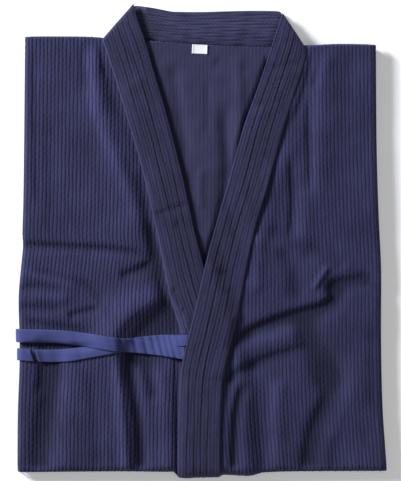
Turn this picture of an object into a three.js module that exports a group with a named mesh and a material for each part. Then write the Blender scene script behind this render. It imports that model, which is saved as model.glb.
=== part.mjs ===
// A martial arts jacket of ribbed navy cotton, folded for the shelf and lying face up on a table.
// The side strips, the sleeves and the lowest 140 mm are turned under, so a rounded stack of hidden
// layers carries the cloth that shows: the two fronts, the inside of the back, the quilted collar,
// the ties and the size label. Units are millimetres: +X runs to the right of the pack, +Y from the
// lower fold to the neck, and +Z up from the table.
import * as THREE from "three";
import { mergeVertices } from "three/addons/utils/BufferGeometryUtils.js";

const { smoothstep, lerp, degToRad, mapLinear } = THREE.MathUtils;

// Driving sizes.
const stackHeight = 21; // from the table to the fronts, in the middle of the pack
const edgeFall = 1.8; // how much lower the fronts lie near the folded sides
const clothThickness = 2.6; // of the fronts, over their ribs
const ribPitch = 5.4;
const ribRise = 0.6;
const backThickness = 2;
const seamGap = 0.3; // where one piece lies on another
const buttGap = 0.4; // where one piece ends beside another
const backDrop = 6.9; // from the fronts' outer face to the back, where the fronts cover it
const openDrop = 3.6; // the same where the lapels leave it open, and at the shoulder
const lapelGap = 0.65; // from the ribs of a front to its lapel
const lapelRise = 3.2; // how far a lapel stands over the front that it is sewn to
const lapelCrown = 0.8; // how much more it stands in the middle of its width
const lapelOverlap = 12; // width of the front that the lapel encloses
const quiltRows = 6; // lines of stitching along the collar
const quiltDepth = 0.7;
const neckThickness = 5; // of the collar at the back of the neck
const neckDrop = 2.5; // from the level of the fronts to that band
const neckSink = 2.6; // how much lower the lapels press it at either end
const collarDroop = 10.5; // how far the collar falls from the pack towards the table
const tieThickness = 1.2;
const tieGap = 0.6; // from the ribs to a tie
const foldedEnd = 1.3; // what the turned end of the lower tie adds to it
const labelThickness = 0.6;

// A fold's nose is a quarter ellipse: its reach inwards and its drop. The hidden layers follow the
// noses of the fronts a little lower down.
const noses = {
  side: { reach: 10, drop: 7 },
  hem: { reach: 10, drop: 8 },
  shoulder: { reach: 5, drop: 3.6 },
};
const stackNoses = {
  side: { reach: 10, drop: 7.9 },
  hem: { reach: 10, drop: 8.7 },
  shoulder: { reach: 8, drop: 7.6 },
};
const noseTurns = [12, 38, 64].map(degToRad); // the rows that go round a fold

// Outline of the pack, seen from above.
const leftEdge = [
  { up: -336, x: -264 },
  { up: -250, x: -264 },
  { up: -176, x: -260.6 },
  { up: -129, x: -261.3 },
  { up: -82, x: -263.2 },
  { up: -27, x: -257.7 },
  { up: -6, x: -255.4 },
  { up: 4, x: -257.5 },
  { up: 55, x: -255.3 },
  { up: 292, x: -253.2 },
];
const rightEdge = [
  { up: -336, x: 267 },
  { up: -287, x: 263.5 },
  { up: -251, x: 260.8 },
  { up: -195, x: 258.9 },
  { up: -127, x: 258.1 },
  { up: -39, x: 259 },
  { up: 19, x: 255.3 },
  { up: 127, x: 251.7 },
  { up: 292, x: 250.9 },
];
const hemEdge = [
  { across: -264, y: -334.8 },
  { across: -104, y: -332.8 },
  { across: -33, y: -334.4 },
  { across: -11, y: -330.4 },
  { across: 48, y: -331 },
  { across: 72, y: -335.5 },
  { across: 108, y: -333 },
  { across: 267, y: -332.8 },
];
const shoulderEdge = [
  { across: -253, y: 291.4 },
  { across: -150, y: 291.4 },
  { across: -142, y: 286.6 },
  { across: -73, y: 285.4 },
  { across: -15, y: 280.4 },
  { across: 60, y: 276.7 },
  { across: 147, y: 276.4 },
  { across: 190, y: 281 },
  { across: 251, y: 279.8 },
];

// Edges of the two lapels from the lower fold to the neck. The inner edge borders the neck opening.
// The right front's lapel lies under the left front's.
const underLapel = [
  { innerX: 48.3, innerY: -300, outerX: -11.1, outerY: -300 },
  { innerX: 48.3, innerY: -262, outerX: -11.1, outerY: -262 },
  { innerX: 46.8, innerY: -208.1, outerX: -11.8, outerY: -212.4 },
  { innerX: 41.1, innerY: -158, outerX: -16.1, outerY: -170.9 },
  { innerX: 29.7, innerY: -115.1, outerX: -29, outerY: -132.3 },
  { innerX: 13.9, innerY: -72.2, outerX: -43.3, outerY: -88 },
  { innerX: 2.5, innerY: -35, outerX: -51.8, outerY: -49.3 },
  { innerX: -9.7, innerY: 10.7, outerX: -60.4, outerY: -3.6 },
  { innerX: -24, innerY: 79.4, outerX: -75.4, outerY: 63.6 },
  { innerX: -39, innerY: 139.4, outerX: -90.5, outerY: 123.7 },
  { innerX: -54, innerY: 195.2, outerX: -107.6, outerY: 179.5 },
  { innerX: -67.6, innerY: 239.5, outerX: -119.8, outerY: 219.5 },
  { innerX: -80.4, innerY: 285.3, outerX: -130.5, outerY: 253 },
  { innerX: -91.9, innerY: 314.6, outerX: -136.2, outerY: 271 },
  { innerX: -98.3, innerY: 341, outerX: -141.9, outerY: 286 },
];
const overLapel = [
  { innerX: -33.6, innerY: -300, outerX: 26.6, outerY: -300 },
  { innerX: -31.8, innerY: -229.5, outerX: 28, outerY: -232.4 },
  { innerX: -30.4, innerY: -193.8, outerX: 29.7, outerY: -202.3 },
  { innerX: -25.4, innerY: -165.2, outerX: 34.7, outerY: -176.6 },
  { innerX: -16.1, innerY: -129.4, outerX: 43.3, outerY: -143.7 },
  { innerX: -5.4, innerY: -86.5, outerX: 53.3, outerY: -102.2 },
  { innerX: 7.5, innerY: -26.5, outerX: 64, outerY: -42.2 },
  { innerX: 25.4, innerY: 36.5, outerX: 77.3, outerY: 20.7 },
  { innerX: 40.4, innerY: 87.9, outerX: 94, outerY: 72.2 },
  { innerX: 61.9, innerY: 167.5, outerX: 114.8, outerY: 150.9 },
  { innerX: 78.3, innerY: 209.5, outerX: 127.6, outerY: 192.4 },
  { innerX: 96.9, innerY: 263.8, outerX: 143.3, outerY: 239.5 },
  { innerX: 108.3, innerY: 301, outerX: 150.5, outerY: 262.4 },
  { innerX: 116.9, innerY: 325.3, outerX: 147.7, outerY: 276.7 },
];

// Upper edge of the collar band at the back of the neck, between the two folds of the collar.
const neckEdge = [
  { across: -136, y: 291.5 },
  { across: -99, y: 337.5 },
  { across: -73, y: 337 },
  { across: -42, y: 329 },
  { across: 1, y: 327.3 },
  { across: 67, y: 329.3 },
  { across: 113, y: 329 },
  { across: 118, y: 322 },
  { across: 141, y: 286 },
];

// Creases of the fronts: a line of points, how deep the soft trough is (a swell is under 0), and
// its half width.
const creases = [
  { line: [[-256, -3], [-200, -6], [-102, -12]], depth: 2.4, width: 9 },
  { line: [[-256, 14], [-170, 10], [-110, 4]], depth: -1.2, width: 10 },
  { line: [[-219, -46], [-188, -54], [-155, -63]], depth: 2, width: 9 },
  { line: [[-249, -66], [-214, -69]], depth: 2, width: 9 },
  { line: [[-120, -44], [-90, -36], [-72, -30]], depth: 2, width: 9 },
  { line: [[-140, -70], [-128, -105], [-128, -130]], depth: -3, width: 16 },
  { line: [[-82, -38], [-86, -90], [-94, -136]], depth: 3.6, width: 15 },
  { line: [[-110, -170], [-104, -230], [-94, -333]], depth: 3.4, width: 12 },
  { line: [[-64, -180], [-66, -240], [-62, -333]], depth: -2, width: 12 },
  { line: [[-232, -180], [-230, -250], [-228, -333]], depth: 3, width: 11 },
  { line: [[-156, 284], [-152, 225], [-138, 170], [-124, 90], [-116, 20]], depth: -3, width: 13 },
  { line: [[-176, -200], [-172, -333]], depth: -1.6, width: 22 },
  { line: [[58, -130], [72, -119], [110, -110], [150, -98], [178, -80], [189, -62]], depth: 3.8, width: 10 },
  { line: [[172, -60], [196, -46], [217, -40]], depth: 2.2, width: 9 },
  { line: [[76, -88], [110, -74], [150, -66]], depth: -3.4, width: 16 },
  { line: [[62, -177], [98, -161], [126, -158]], depth: 2, width: 10 },
  { line: [[190, -176], [170, -212], [152, -250], [136, -330]], depth: 3, width: 15 },
  { line: [[101, -225], [103, -333]], depth: -2.2, width: 13 },
  { line: [[152, 240], [150, 200], [134, 120], [128, 60], [126, 4]], depth: 2.4, width: 11 },
  { line: [[172, 250], [172, 190], [160, 110], [146, 40], [138, 0]], depth: -2.6, width: 14 },
];

// Soft lengthwise folds of the back, between the lapels.
const backFolds = [
  { line: [[38, 165], [28, 100], [16, 30]], depth: 1.5, width: 10 },
  { line: [[18, 200], [14, 120], [4, 60]], depth: -0.9, width: 10 },
];

// Centre lines of the ties from the left edge to the over lapel, and how far each is lifted.
const upperTie = [
  { x: -262, y: -137.8, width: 18.8, lift: 0 },
  { x: -216.3, y: -138.4, width: 18.8, lift: 0 },
  { x: -195, y: -139.8, width: 18.8, lift: 0.2 },
  { x: -172, y: -142.6, width: 19, lift: 1.8 },
  { x: -150, y: -145.6, width: 19.6, lift: 2 },
  { x: -123.3, y: -150.2, width: 20, lift: 2 },
  { x: -87.6, y: -153.4, width: 19, lift: 2 },
  { x: -59, y: -157.3, width: 17.4, lift: 2 },
  { x: -42, y: -160, width: 17, lift: 2 },
  { x: -24.8, y: -162.3, width: 17, lift: 2 },
];
const lowerTie = [
  { x: -262, y: -164.6, width: 17, lift: 0 },
  { x: -223.4, y: -167.2, width: 17.4, lift: 0 },
  { x: -202, y: -166.5, width: 17.8, lift: 0 },
  { x: -180.5, y: -164.5, width: 18, lift: 0 },
  { x: -159.1, y: -160.2, width: 17.6, lift: 0 },
  { x: -123.3, y: -153, width: 18.6, lift: 0 },
  { x: -87.6, y: -148.6, width: 18, lift: 0 },
  { x: -59, y: -144.4, width: 16, lift: 0 },
  { x: -30.4, y: -144.6, width: 16, lift: 0 },
  { x: -20.4, y: -144.4, width: 16, lift: 0 },
];

// Size and place of the label below the neck seam: it leans a little to the right.
const label = { x: -2.2, y: 272.4, width: 22, height: 13, lean: degToRad(-2.6) };

// Where the rows of the body lie between the lower fold and the shoulder, as shares. The fronts'
// are closer together where creases and the other front cross the cloth.
const frontRows = [
  0, 0.1, 0.18, 0.23, 0.262, 0.292, 0.322, 0.352, 0.382, 0.412, 0.442, 0.475, 0.505, 0.55, 0.65,
  0.78, 0.9, 1,
];
const backRows = [0, 0.14, 0.28, 0.4, 0.48, 0.54, 0.61, 0.68, 0.75, 0.82, 0.89, 0.94, 0.97, 1];
const backColumns = [
  0, 0.19, 0.21, 0.28, 0.32, 0.36, 0.4, 0.43, 0.46, 0.485, 0.51, 0.535, 0.56, 0.585, 0.61, 0.64,
  0.67, 0.71, 0.806, 0.9, 1,
];
const stackRows = [0, 0.1, 0.3, 0.5, 0.7, 0.9, 1];
const stackColumns = [0, 0.19, 0.21, 0.35, 0.425, 0.437, 0.5, 0.552, 0.565, 0.6, 0.64, 0.71, 0.806, 0.9, 1];

// The sides of the hidden stack below its upper nose, as shares of the height there: one broad fold
// over another at the sides and the hem, and three thinner layers at the shoulder.
const stackRings = [
  { share: 0.84, side: -0.3, hem: -0.2, shoulder: 1.2 },
  { share: 0.7, side: 0.4, hem: 0.4, shoulder: 2.8 },
  { share: 0.6, side: 2.6, hem: 2.4, shoulder: 0.6 },
  { share: 0.54, side: 4.6, hem: 4.4, shoulder: 0.3 },
  { share: 0.48, side: 2.2, hem: 2.4, shoulder: 1.4 },
  { share: 0.36, side: 0.7, hem: 0.8, shoulder: 3 },
  { share: 0.14, side: 0.7, hem: 0.7, shoulder: 0.6 },
  { share: 0, side: 4.4, hem: 4.4, shoulder: 3.4 },
];

// Reads a column of a table, ordered by its key, at a place between two rows.
function read(table, key, at, column) {
  const next = table.findIndex((row) => row[key] > at);
  if (next === 0) return table[0][column];
  if (next < 0) return table.at(-1)[column];
  const [low, high] = [table[next - 1], table[next]];
  return mapLinear(at, low[key], high[key], low[column], high[column]);
}

const leftX = (y) => read(leftEdge, "up", y, "x");
const rightX = (y) => read(rightEdge, "up", y, "x");
const hemY = (x) => read(hemEdge, "across", x, "y");
const shoulderY = (x) => read(shoulderEdge, "across", x, "y");
const innerX = (lapel, y) => read(lapel, "innerY", y, "innerX");
const outerX = (lapel, y) => read(lapel, "outerY", y, "outerX");

// How far a point lies from a line of points.
function distanceTo(line, x, y) {
  const steps = line.slice(1).map(([bx, by], i) => {
    const [ax, ay] = line[i];
    const [dx, dy] = [bx - ax, by - ay];
    const share = THREE.MathUtils.clamp(((x - ax) * dx + (y - ay) * dy) / (dx * dx + dy * dy), 0, 1);
    return Math.hypot(x - ax - share * dx, y - ay - share * dy);
  });
  return Math.min(...steps);
}

const foldsAt = (folds, x, y) =>
  folds.reduce((sum, fold) => sum + fold.depth * Math.exp(-((distanceTo(fold.line, x, y) / fold.width) ** 2)), 0);

// Depth of the creases, which fade out before the folded edges so that the noses stay round.
function creaseAt(x, y) {
  const sides = smoothstep(Math.min(x - leftX(y), rightX(y) - x), 3, 16);
  const ends = smoothstep(y - hemY(x), 2, 14) * smoothstep(shoulderY(x) - y, 4, 40);
  return Math.min(foldsAt(creases, x, y), 4) * sides * ends;
}

// Height of the right front's outer face, and of the level of the pack where no front lies.
const droopAt = (y) => collarDroop * smoothstep(y, 284, 344);
const levelAt = (x, y) => stackHeight - edgeFall * (x / 267) ** 2 - droopAt(y);
const baseAt = (x, y) => levelAt(x, y) - creaseAt(x, y);

// What the right front and its lapel add under the pieces that lie on them, with soft shoulders.
const fadeFrom = 6;
const fadeTo = 34;
function lapelBulge(x, y) {
  const beside = Math.max(x - innerX(underLapel, y), outerX(underLapel, y) - x);
  return (lapelRise + lapelCrown + seamGap) * (1 - smoothstep(beside, fadeFrom, fadeTo));
}
const noRaise = () => 0;
const overRaise = (x, y) =>
  (clothThickness + seamGap) * (1 - smoothstep(x - innerX(underLapel, y), fadeFrom, fadeTo)) + lapelBulge(x, y);

// How far the neck opening frees the back, from 0 under a lapel to 1.
const openAt = (x, y) =>
  smoothstep(x - innerX(underLapel, y), 3, 26) * smoothstep(innerX(overLapel, y) - x, 3, 26);
function backOut(x, y) {
  const free = Math.max(openAt(x, y), 1 - smoothstep(shoulderY(x) - y, 8, 36));
  return -lerp(backDrop, openDrop, free) - foldsAt(backFolds, x, y) * openAt(x, y);
}

// Places round a nose, for a layer that lies some way out from the face of the right front.
const noseInset = (nose, turn, out) => Math.max(nose.reach + out, 0) * (1 - Math.cos(turn)) - out;
const noseFall = (nose, turn, out) => Math.max(nose.drop + out, 0) * (1 - Math.sin(turn));

// A point of a layer of the body. A row or a column with a turn goes round a nose.
function place(column, row, outAt, kinds = noses, height = baseAt) {
  const { side } = column;
  const nearX = side ? side * (258 - (column.inset ?? 0)) : lerp(-243, 241, column.share);
  const [low, high] = [hemY(nearX), shoulderY(nearX)];
  const flatY = lerp(low + kinds.hem.reach, high - kinds.shoulder.reach, row.share);
  const out = outAt(nearX, flatY, row);
  let y = flatY;
  let fall = 0;
  if (row.turn !== undefined) {
    const nose = row.share ? kinds.shoulder : kinds.hem;
    const inset = noseInset(nose, row.turn, out);
    y = row.share ? high - inset : low + inset;
    fall = noseFall(nose, row.turn, out);
  }
  let x = lerp(leftX(y) + 12, rightX(y) - 12, column.share ?? 0);
  if (side) {
    const inset = column.turn === undefined ? column.inset : noseInset(kinds.side, column.turn, out);
    x = side < 0 ? leftX(y) + inset : rightX(y) - inset;
    fall += column.turn === undefined ? 0 : noseFall(kinds.side, column.turn, out);
  }
  return [x, y, height(x, y) + out - fall];
}

// Joins two lines of points with triangles, where they may hold different numbers of points.
function zip(lineA, lineB, flip, out) {
  const [lastA, lastB] = [lineA.length - 1, lineB.length - 1];
  let [i, j] = [0, 0];
  while (i < lastA || j < lastB) {
    const stepA = j >= lastB || (i < lastA && (i + 1) / lastA <= (j + 1) / lastB);
    const face = stepA ? [lineA[i + 1], lineA[i], lineB[j]] : [lineB[j], lineB[j + 1], lineA[i]];
    out.push(flip ? face.reverse() : face);
    if (stepA) i++;
    else j++;
  }
}

// Two triangles for each cell of a grid of points, given as rows.
function skin(grid, flip, out) {
  for (let j = 1; j < grid.length; j++) {
    for (let i = 1; i < grid[j].length; i++) {
      const [a, b, c, d] = [grid[j - 1][i - 1], grid[j - 1][i], grid[j][i], grid[j][i - 1]];
      out.push(flip ? [a, c, b] : [a, b, c], flip ? [a, d, c] : [a, c, d]);
    }
  }
}

// A closed geometry from triangles that all turn the same way: shared points are merged, empty
// triangles left out, and the faces turned outwards.
function closed(triangles) {
  const loose = new THREE.BufferGeometry();
  loose.setAttribute("position", new THREE.Float32BufferAttribute(triangles.flat(2), 3));
  const merged = mergeVertices(loose, 0.002);
  const corner = (k) => new THREE.Vector3().fromBufferAttribute(merged.attributes.position, k);
  const kept = [];
  let volume = 0;
  for (let i = 0; i < merged.index.count; i += 3) {
    const [a, b, c] = [0, 1, 2].map((k) => merged.index.getX(i + k));
    if (a === b || b === c || c === a) continue;
    kept.push(a, b, c);
    volume += corner(a).dot(corner(b).cross(corner(c)));
  }
  merged.setIndex(volume < 0 ? kept.reverse() : kept);
  merged.computeVertexNormals();
  return merged;
}

// A sheet with an upper face of many points and a lower face of fewer, closed round its rim.
function sheet(upper, lower) {
  const out = [];
  skin(upper, false, out);
  skin(lower, true, out);
  zip(upper[0], lower[0], false, out);
  zip(upper.at(-1), lower.at(-1), true, out);
  zip(upper.map((line) => line[0]), lower.map((line) => line[0]), true, out);
  zip(upper.map((line) => line.at(-1)), lower.map((line) => line.at(-1)), false, out);
  return closed(out);
}

// A tube of rings with the same number of points each, closed by a face at both ends.
function loft(rings) {
  const out = [];
  skin(rings.map((ring) => [...ring, ring[0]]), false, out);
  const half = Math.ceil(rings[0].length / 2);
  for (const [ring, flip] of [[rings[0], false], [rings.at(-1), true]]) {
    const back = [...ring.slice(half), ring[0]].reverse();
    zip(ring.slice(0, half + 1), [...back, ring[half]].slice(0, back.length), flip, out);
  }
  return closed(out);
}

const bodyRows = (shares) => [
  ...noseTurns.map((turn) => ({ turn, share: 0 })),
  ...shares.map((share) => ({ share })),
  ...noseTurns.slice(0, 2).reverse().map((turn) => ({ turn, share: 1 })),
];

// Where a row of a front ends, at the seam under its lapel.
function seamPoint(side, row, seamX, outAt) {
  let point = [seamX(0), 0, 0];
  for (let tries = 0; tries < 8; tries++) {
    const [, y] = point;
    const inset = side < 0 ? seamX(y) - leftX(y) : rightX(y) - seamX(y);
    point = place({ side, inset }, row, outAt);
  }
  return point;
}

// A front: ribbed outside and plain inside, from its folded side to a seam under its lapel.
function frontBody(side, lapel, raise) {
  const pitch = ribPitch / 2;
  const seamX = (y) => outerX(lapel, y) - side * lapelOverlap;
  const columns = [12, 28, 44, 59, 74].map((turn) => ({ side, turn: degToRad(turn) }));
  for (let inset = noses.side.reach; inset < 280; inset += pitch) columns.push({ side, inset });
  const ribbed = columns.map((column, k) => ({ column, depth: (k % 2) * ribRise }));
  const plain = columns
    .filter((_, k) => k === 0 || k % 3 === 2)
    .map((column) => ({ column, depth: clothThickness }));
  const lay = (strips, seamDepth) =>
    bodyRows(frontRows).map((row) => {
      const end = seamPoint(side, row, seamX, (x, y) => raise(x, y) - seamDepth);
      const line = strips.map(({ column, depth }) => {
        const point = place(column, row, (x, y) => raise(x, y) - depth);
        return (point[0] - end[0]) * side < 0.4 * pitch ? end : point;
      });
      line.push(end);
      return side < 0 ? line : line.reverse();
    });
  return sheet(lay(ribbed, 0), lay(plain, clothThickness));
}

// The back lies flat under the fronts and swells a little in the neck opening.
const backGrid = (drop) =>
  backRows.map((share) =>
    backColumns.map((column) => {
      const nearX = lerp(-240, 240, column);
      const y = lerp(hemY(nearX) + 12, shoulderY(nearX) - 0.1, share);
      const x = lerp(leftX(y) + 12, rightX(y) - 12, column);
      return [x, y, levelAt(x, y) + backOut(x, y) - drop];
    }),
  );
const backBody = () => sheet(backGrid(0), backGrid(backThickness));

// Shape of a lapel's section, as shares from its outer to its inner edge, with the quilting between
// the lines of stitching. It lies on the front at its outer edge and reaches below it further in.
function lapelProfile(step) {
  const ridges = Array.from({ length: 2 * quiltRows + 1 }, (_, k) => {
    const share = lerp(0.06, 0.94, k / (2 * quiltRows));
    return { share, out: lapelRise + lapelCrown * Math.sin(Math.PI * share) - (k % 2) * quiltDepth };
  });
  return [
    { share: 0, out: lapelGap },
    { share: 0, out: 1.7 },
    { share: 0.022, out: 2.8 },
    ...ridges,
    { share: 0.98, out: 2.6 },
    { share: 1, out: 1.2 },
    { share: 1, out: -1.6 },
    ...[0.98, 0.84, 0.68, 0.54, step].map((share) => ({ share, out: 0.2 - clothThickness })),
    ...[1, 0.8, 0.6, 0.4, 0.2].map((part) => ({ share: step * part, out: lapelGap })),
  ];
}

// One section of a lapel. At the hem it goes round the nose, and at the neck fold its top falls.
function lapelSection(table, at, raise, { turn, fall = 0 } = {}) {
  const low = Math.min(Math.floor(at), table.length - 2);
  const mix = (key) => lerp(table[low][key], table[low + 1][key], at - low);
  const [inX, inY, outX, outY] = ["innerX", "innerY", "outerX", "outerY"].map(mix);
  const step = (lapelOverlap + 9) / Math.abs(innerX(table, outY) - outX);
  return lapelProfile(step).map(({ share, out }) => {
    const x = lerp(outX, inX, share);
    if (turn === undefined) {
      const y = lerp(outY, inY, share);
      return [x, y, baseAt(x, y) + raise(x, y) + out - (out > lapelGap ? fall : 0)];
    }
    const total = raise(x, -320) + out;
    const y = hemY(x) + noseInset(noses.hem, turn, total);
    return [x, y, baseAt(x, y) + total - noseFall(noses.hem, turn, total)];
  });
}

// A quilted lapel, from the lower fold to the fold of the collar at the neck.
function collarFront(table, raise) {
  const last = table.length - 1;
  const rings = [...noseTurns, Math.PI / 2].map((turn) => lapelSection(table, 0, raise, { turn }));
  for (let at = 0; at < last - 0.3; at += at > 3.9 && at < 8 ? 0.4 : 0.8) {
    rings.push(lapelSection(table, at, raise));
  }
  const foldNose = [
    { back: 0.2, fall: 0 },
    { back: 0.07, fall: 0.4 },
    { back: 0.02, fall: 1 },
    { back: 0, fall: 1.3 },
  ];
  for (const { back, fall } of foldNose) rings.push(lapelSection(table, last - back, raise, { fall }));
  return loft(rings);
}

// The collar at the back of the neck, whose inner face shows. It ends at the folds of the lapels.
function collarNeck() {
  const ridges = Array.from({ length: 2 * quiltRows - 1 }, (_, k) => ({
    share: lerp(0.07, 0.93, k / (2 * quiltRows - 2)),
    out: -(k % 2) * 0.5,
  }));
  const profile = [
    { share: 0, out: -neckThickness },
    { share: 0, out: -0.9 },
    { share: 0.02, out: -0.3 },
    ...ridges,
    { share: 0.98, out: -0.5 },
    { share: 1, out: -1.6 },
    { share: 1, out: -neckThickness },
    { share: 0.66, out: -neckThickness },
    { share: 0.33, out: -neckThickness },
  ];
  const section = (x) =>
    profile.map(({ share, out }) => {
      const y = lerp(shoulderY(x) + buttGap, read(neckEdge, "across", x, "y"), share);
      const sunk = out > -neckThickness ? neckSink * (1 - openAt(x, y)) : 0;
      return [x, y, levelAt(x, y) - neckDrop + out - sunk];
    });
  const halfway = (i) => (neckEdge[i].across + neckEdge[i - 1].across) / 2;
  const places = neckEdge.flatMap(({ across }, i) => (i ? [halfway(i), across] : [across]));
  return loft(places.map(section));
}

// A flat tie on the right front. It turns down round the left edge of the pack.
function tie(table, standOff, extraAt = () => 0) {
  const profile = [
    { share: 0, out: 0 },
    { share: 0, out: tieThickness - 0.3 },
    { share: 0.05, out: tieThickness },
    { share: 0.5, out: tieThickness + 0.2 },
    { share: 0.95, out: tieThickness },
    { share: 1, out: tieThickness - 0.3 },
    { share: 1, out: 0 },
    { share: 0.5, out: 0 },
  ];
  const ring = (x, turn) =>
    profile.map(({ share, out }) => {
      const [centre, width, lift] = ["y", "width", "lift"].map((key) => read(table, "x", x, key));
      const y = centre + (share - 0.5) * width;
      const total = tieGap + lift + out + (out ? extraAt(x) : 0);
      if (turn === undefined) {
        const end = innerX(overLapel, y) - buttGap;
        const endX = x === table.at(-1).x ? end : x;
        return [endX, y, baseAt(endX, y) + lapelBulge(endX, y) + total];
      }
      const away = total + standOff * Math.cos(turn) ** 2;
      const noseX = leftX(y) + noseInset(noses.side, turn, away);
      return [noseX, y, levelAt(noseX, y) + away - noseFall(noses.side, turn, away)];
    });
  const rings = [ring(table.at(-1).x)];
  for (let x = table.at(-1).x - 9; x > -248; x -= 9.5) rings.push(ring(x));
  for (const turn of [72, 52, 34, 16, 0, -14].map(degToRad)) rings.push(ring(-261, turn));
  return loft(rings);
}

// A blank woven label, sewn on the back below the neck.
function sizeLabel() {
  const steps = [-0.5, 0, 0.5];
  const grid = (out) =>
    steps.map((v) =>
      steps.map((u) => {
        const [across, up] = [u * label.width, v * label.height];
        const x = label.x + across * Math.cos(label.lean) - up * Math.sin(label.lean);
        const y = label.y + across * Math.sin(label.lean) + up * Math.cos(label.lean);
        return [x, y, levelAt(x, y) + backOut(x, y) + seamGap + out];
      }),
    );
  return sheet(grid(labelThickness), grid(0));
}

// How far the outermost layer stands out at the lower fold.
function hemOut(x) {
  if (x < -36) return 0;
  return overRaise(x, -320) + (x < 28 ? lapelRise + lapelCrown : 0);
}

// The folded layers that never show whole: one rounded solid, layered at its edges.
function foldedLayers() {
  const rowsUsed = bodyRows(stackRows);
  const columns = [
    ...noseTurns.map((turn) => ({ side: -1, turn })),
    ...stackColumns.map((share) => ({ share })),
    ...[...noseTurns].reverse().map((turn) => ({ side: 1, turn })),
  ];
  const shoulderLift = (x, y) => (backDrop - openDrop) * (1 - smoothstep(shoulderY(x) - y, 8, 12));
  const hidden = (x, y) => shoulderLift(x, y) - backDrop - backThickness - seamGap - 1.5;
  const top = rowsUsed.map((row) => columns.map((column) => place(column, row, hidden, stackNoses, levelAt)));
  const [lastRow, lastColumn] = [rowsUsed.length - 1, columns.length - 1];
  const rim = [
    ...columns.map((_, i) => [i, 0]),
    ...rowsUsed.slice(1).map((_, j) => [lastColumn, j + 1]),
    ...columns.slice(1).map((_, i) => [lastColumn - 1 - i, lastRow]),
    ...rowsUsed.slice(1, -1).map((_, j) => [0, lastRow - 1 - j]),
  ];
  const rimOut = (x, y, row) => (row.turn !== undefined && !row.share ? hemOut(x) : 0) - 0.35;
  const outer = rim.map(([i, j]) => place(columns[i], rowsUsed[j], rimOut, stackNoses, levelAt));
  const rings = stackRings.map(({ share, side, hem, shoulder }) =>
    outer.map(([x, y, z]) => [x * (1 - side / 260), y * (1 - (y < 0 ? hem / 333 : shoulder / 283)), z * share]),
  );
  const out = [];
  skin(top, false, out);
  const inner = rim.map(([i, j]) => top[j][i]);
  skin([inner, outer, ...rings].map((ring) => [...ring, ring[0]]), true, out);
  const floor = rings.at(-1);
  const contour = floor.map(([x, y]) => new THREE.Vector2(x, y));
  for (const face of THREE.ShapeUtils.triangulateShape(contour, [])) {
    out.push(face.map((k) => floor[k]).reverse());
  }
  return closed(out);
}

// Dyed cotton is matt; the ties are a paler, smoother twill, and the label is a white ribbon.
const ribbedCotton = () => new THREE.MeshStandardMaterial({ color: "#34345a", roughness: 0.93, metalness: 0 });
const insideCotton = () => new THREE.MeshStandardMaterial({ color: "#3a3957", roughness: 0.95, metalness: 0 });
const quiltedCotton = () => new THREE.MeshStandardMaterial({ color: "#333252", roughness: 0.92, metalness: 0 });
const tieTwill = () => new THREE.MeshStandardMaterial({ color: "#484d80", roughness: 0.82, metalness: 0 });
const labelRibbon = () => new THREE.MeshStandardMaterial({ color: "#d9dadd", roughness: 0.7, metalness: 0 });

const foldedTieEnd = (x) => foldedEnd * smoothstep(x, -239, -233) * (1 - smoothstep(x, -215, -185));

const pieces = [
  { name: "folded_under_layers", geometry: foldedLayers(), material: insideCotton() },
  { name: "back_body", geometry: backBody(), material: insideCotton() },
  { name: "front_right_body", geometry: frontBody(-1, underLapel, noRaise), material: ribbedCotton() },
  { name: "front_left_body", geometry: frontBody(1, overLapel, overRaise), material: ribbedCotton() },
  { name: "collar_back_neck", geometry: collarNeck(), material: quiltedCotton() },
  { name: "collar_right_front", geometry: collarFront(underLapel, noRaise), material: quiltedCotton() },
  { name: "collar_left_front", geometry: collarFront(overLapel, overRaise), material: quiltedCotton() },
  { name: "tie_lower", geometry: tie(lowerTie, 1.2, foldedTieEnd), material: tieTwill() },
  { name: "tie_upper", geometry: tie(upperTie, 4), material: tieTwill() },
  { name: "size_label", geometry: sizeLabel(), material: labelRibbon() },
];

const jacket = new THREE.Group();
jacket.name = "folded_martial_arts_jacket";
for (const { name, geometry, material } of pieces) {
  const mesh = new THREE.Mesh(geometry, material);
  mesh.name = name;
  jacket.add(mesh);
}

export default jacket;
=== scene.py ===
"""A martial arts jacket of ribbed navy cotton, folded for the shelf, face up on a pale table.

Sizes are in millimetres in the part's own frame: +X to the right of the pack, +Y from the lower
fold to the neck and +Z up. They become metres when a mesh is made. The table, the lights and the
camera are placed in metres.
"""

import math

import bpy
import numpy as np
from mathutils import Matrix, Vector


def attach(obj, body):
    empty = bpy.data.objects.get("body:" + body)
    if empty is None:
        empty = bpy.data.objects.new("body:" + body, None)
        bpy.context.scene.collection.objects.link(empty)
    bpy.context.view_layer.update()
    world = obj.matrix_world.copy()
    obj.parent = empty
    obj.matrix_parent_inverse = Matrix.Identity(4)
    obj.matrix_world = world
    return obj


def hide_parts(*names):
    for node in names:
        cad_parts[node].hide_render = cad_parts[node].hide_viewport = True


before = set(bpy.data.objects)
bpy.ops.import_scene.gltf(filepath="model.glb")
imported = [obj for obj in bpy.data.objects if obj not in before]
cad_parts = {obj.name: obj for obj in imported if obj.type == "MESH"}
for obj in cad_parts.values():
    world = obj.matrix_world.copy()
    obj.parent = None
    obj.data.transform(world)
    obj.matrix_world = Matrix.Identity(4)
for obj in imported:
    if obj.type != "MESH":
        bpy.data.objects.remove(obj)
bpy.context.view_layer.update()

MM = 0.001
FULL_TURN = 2 * math.pi

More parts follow.
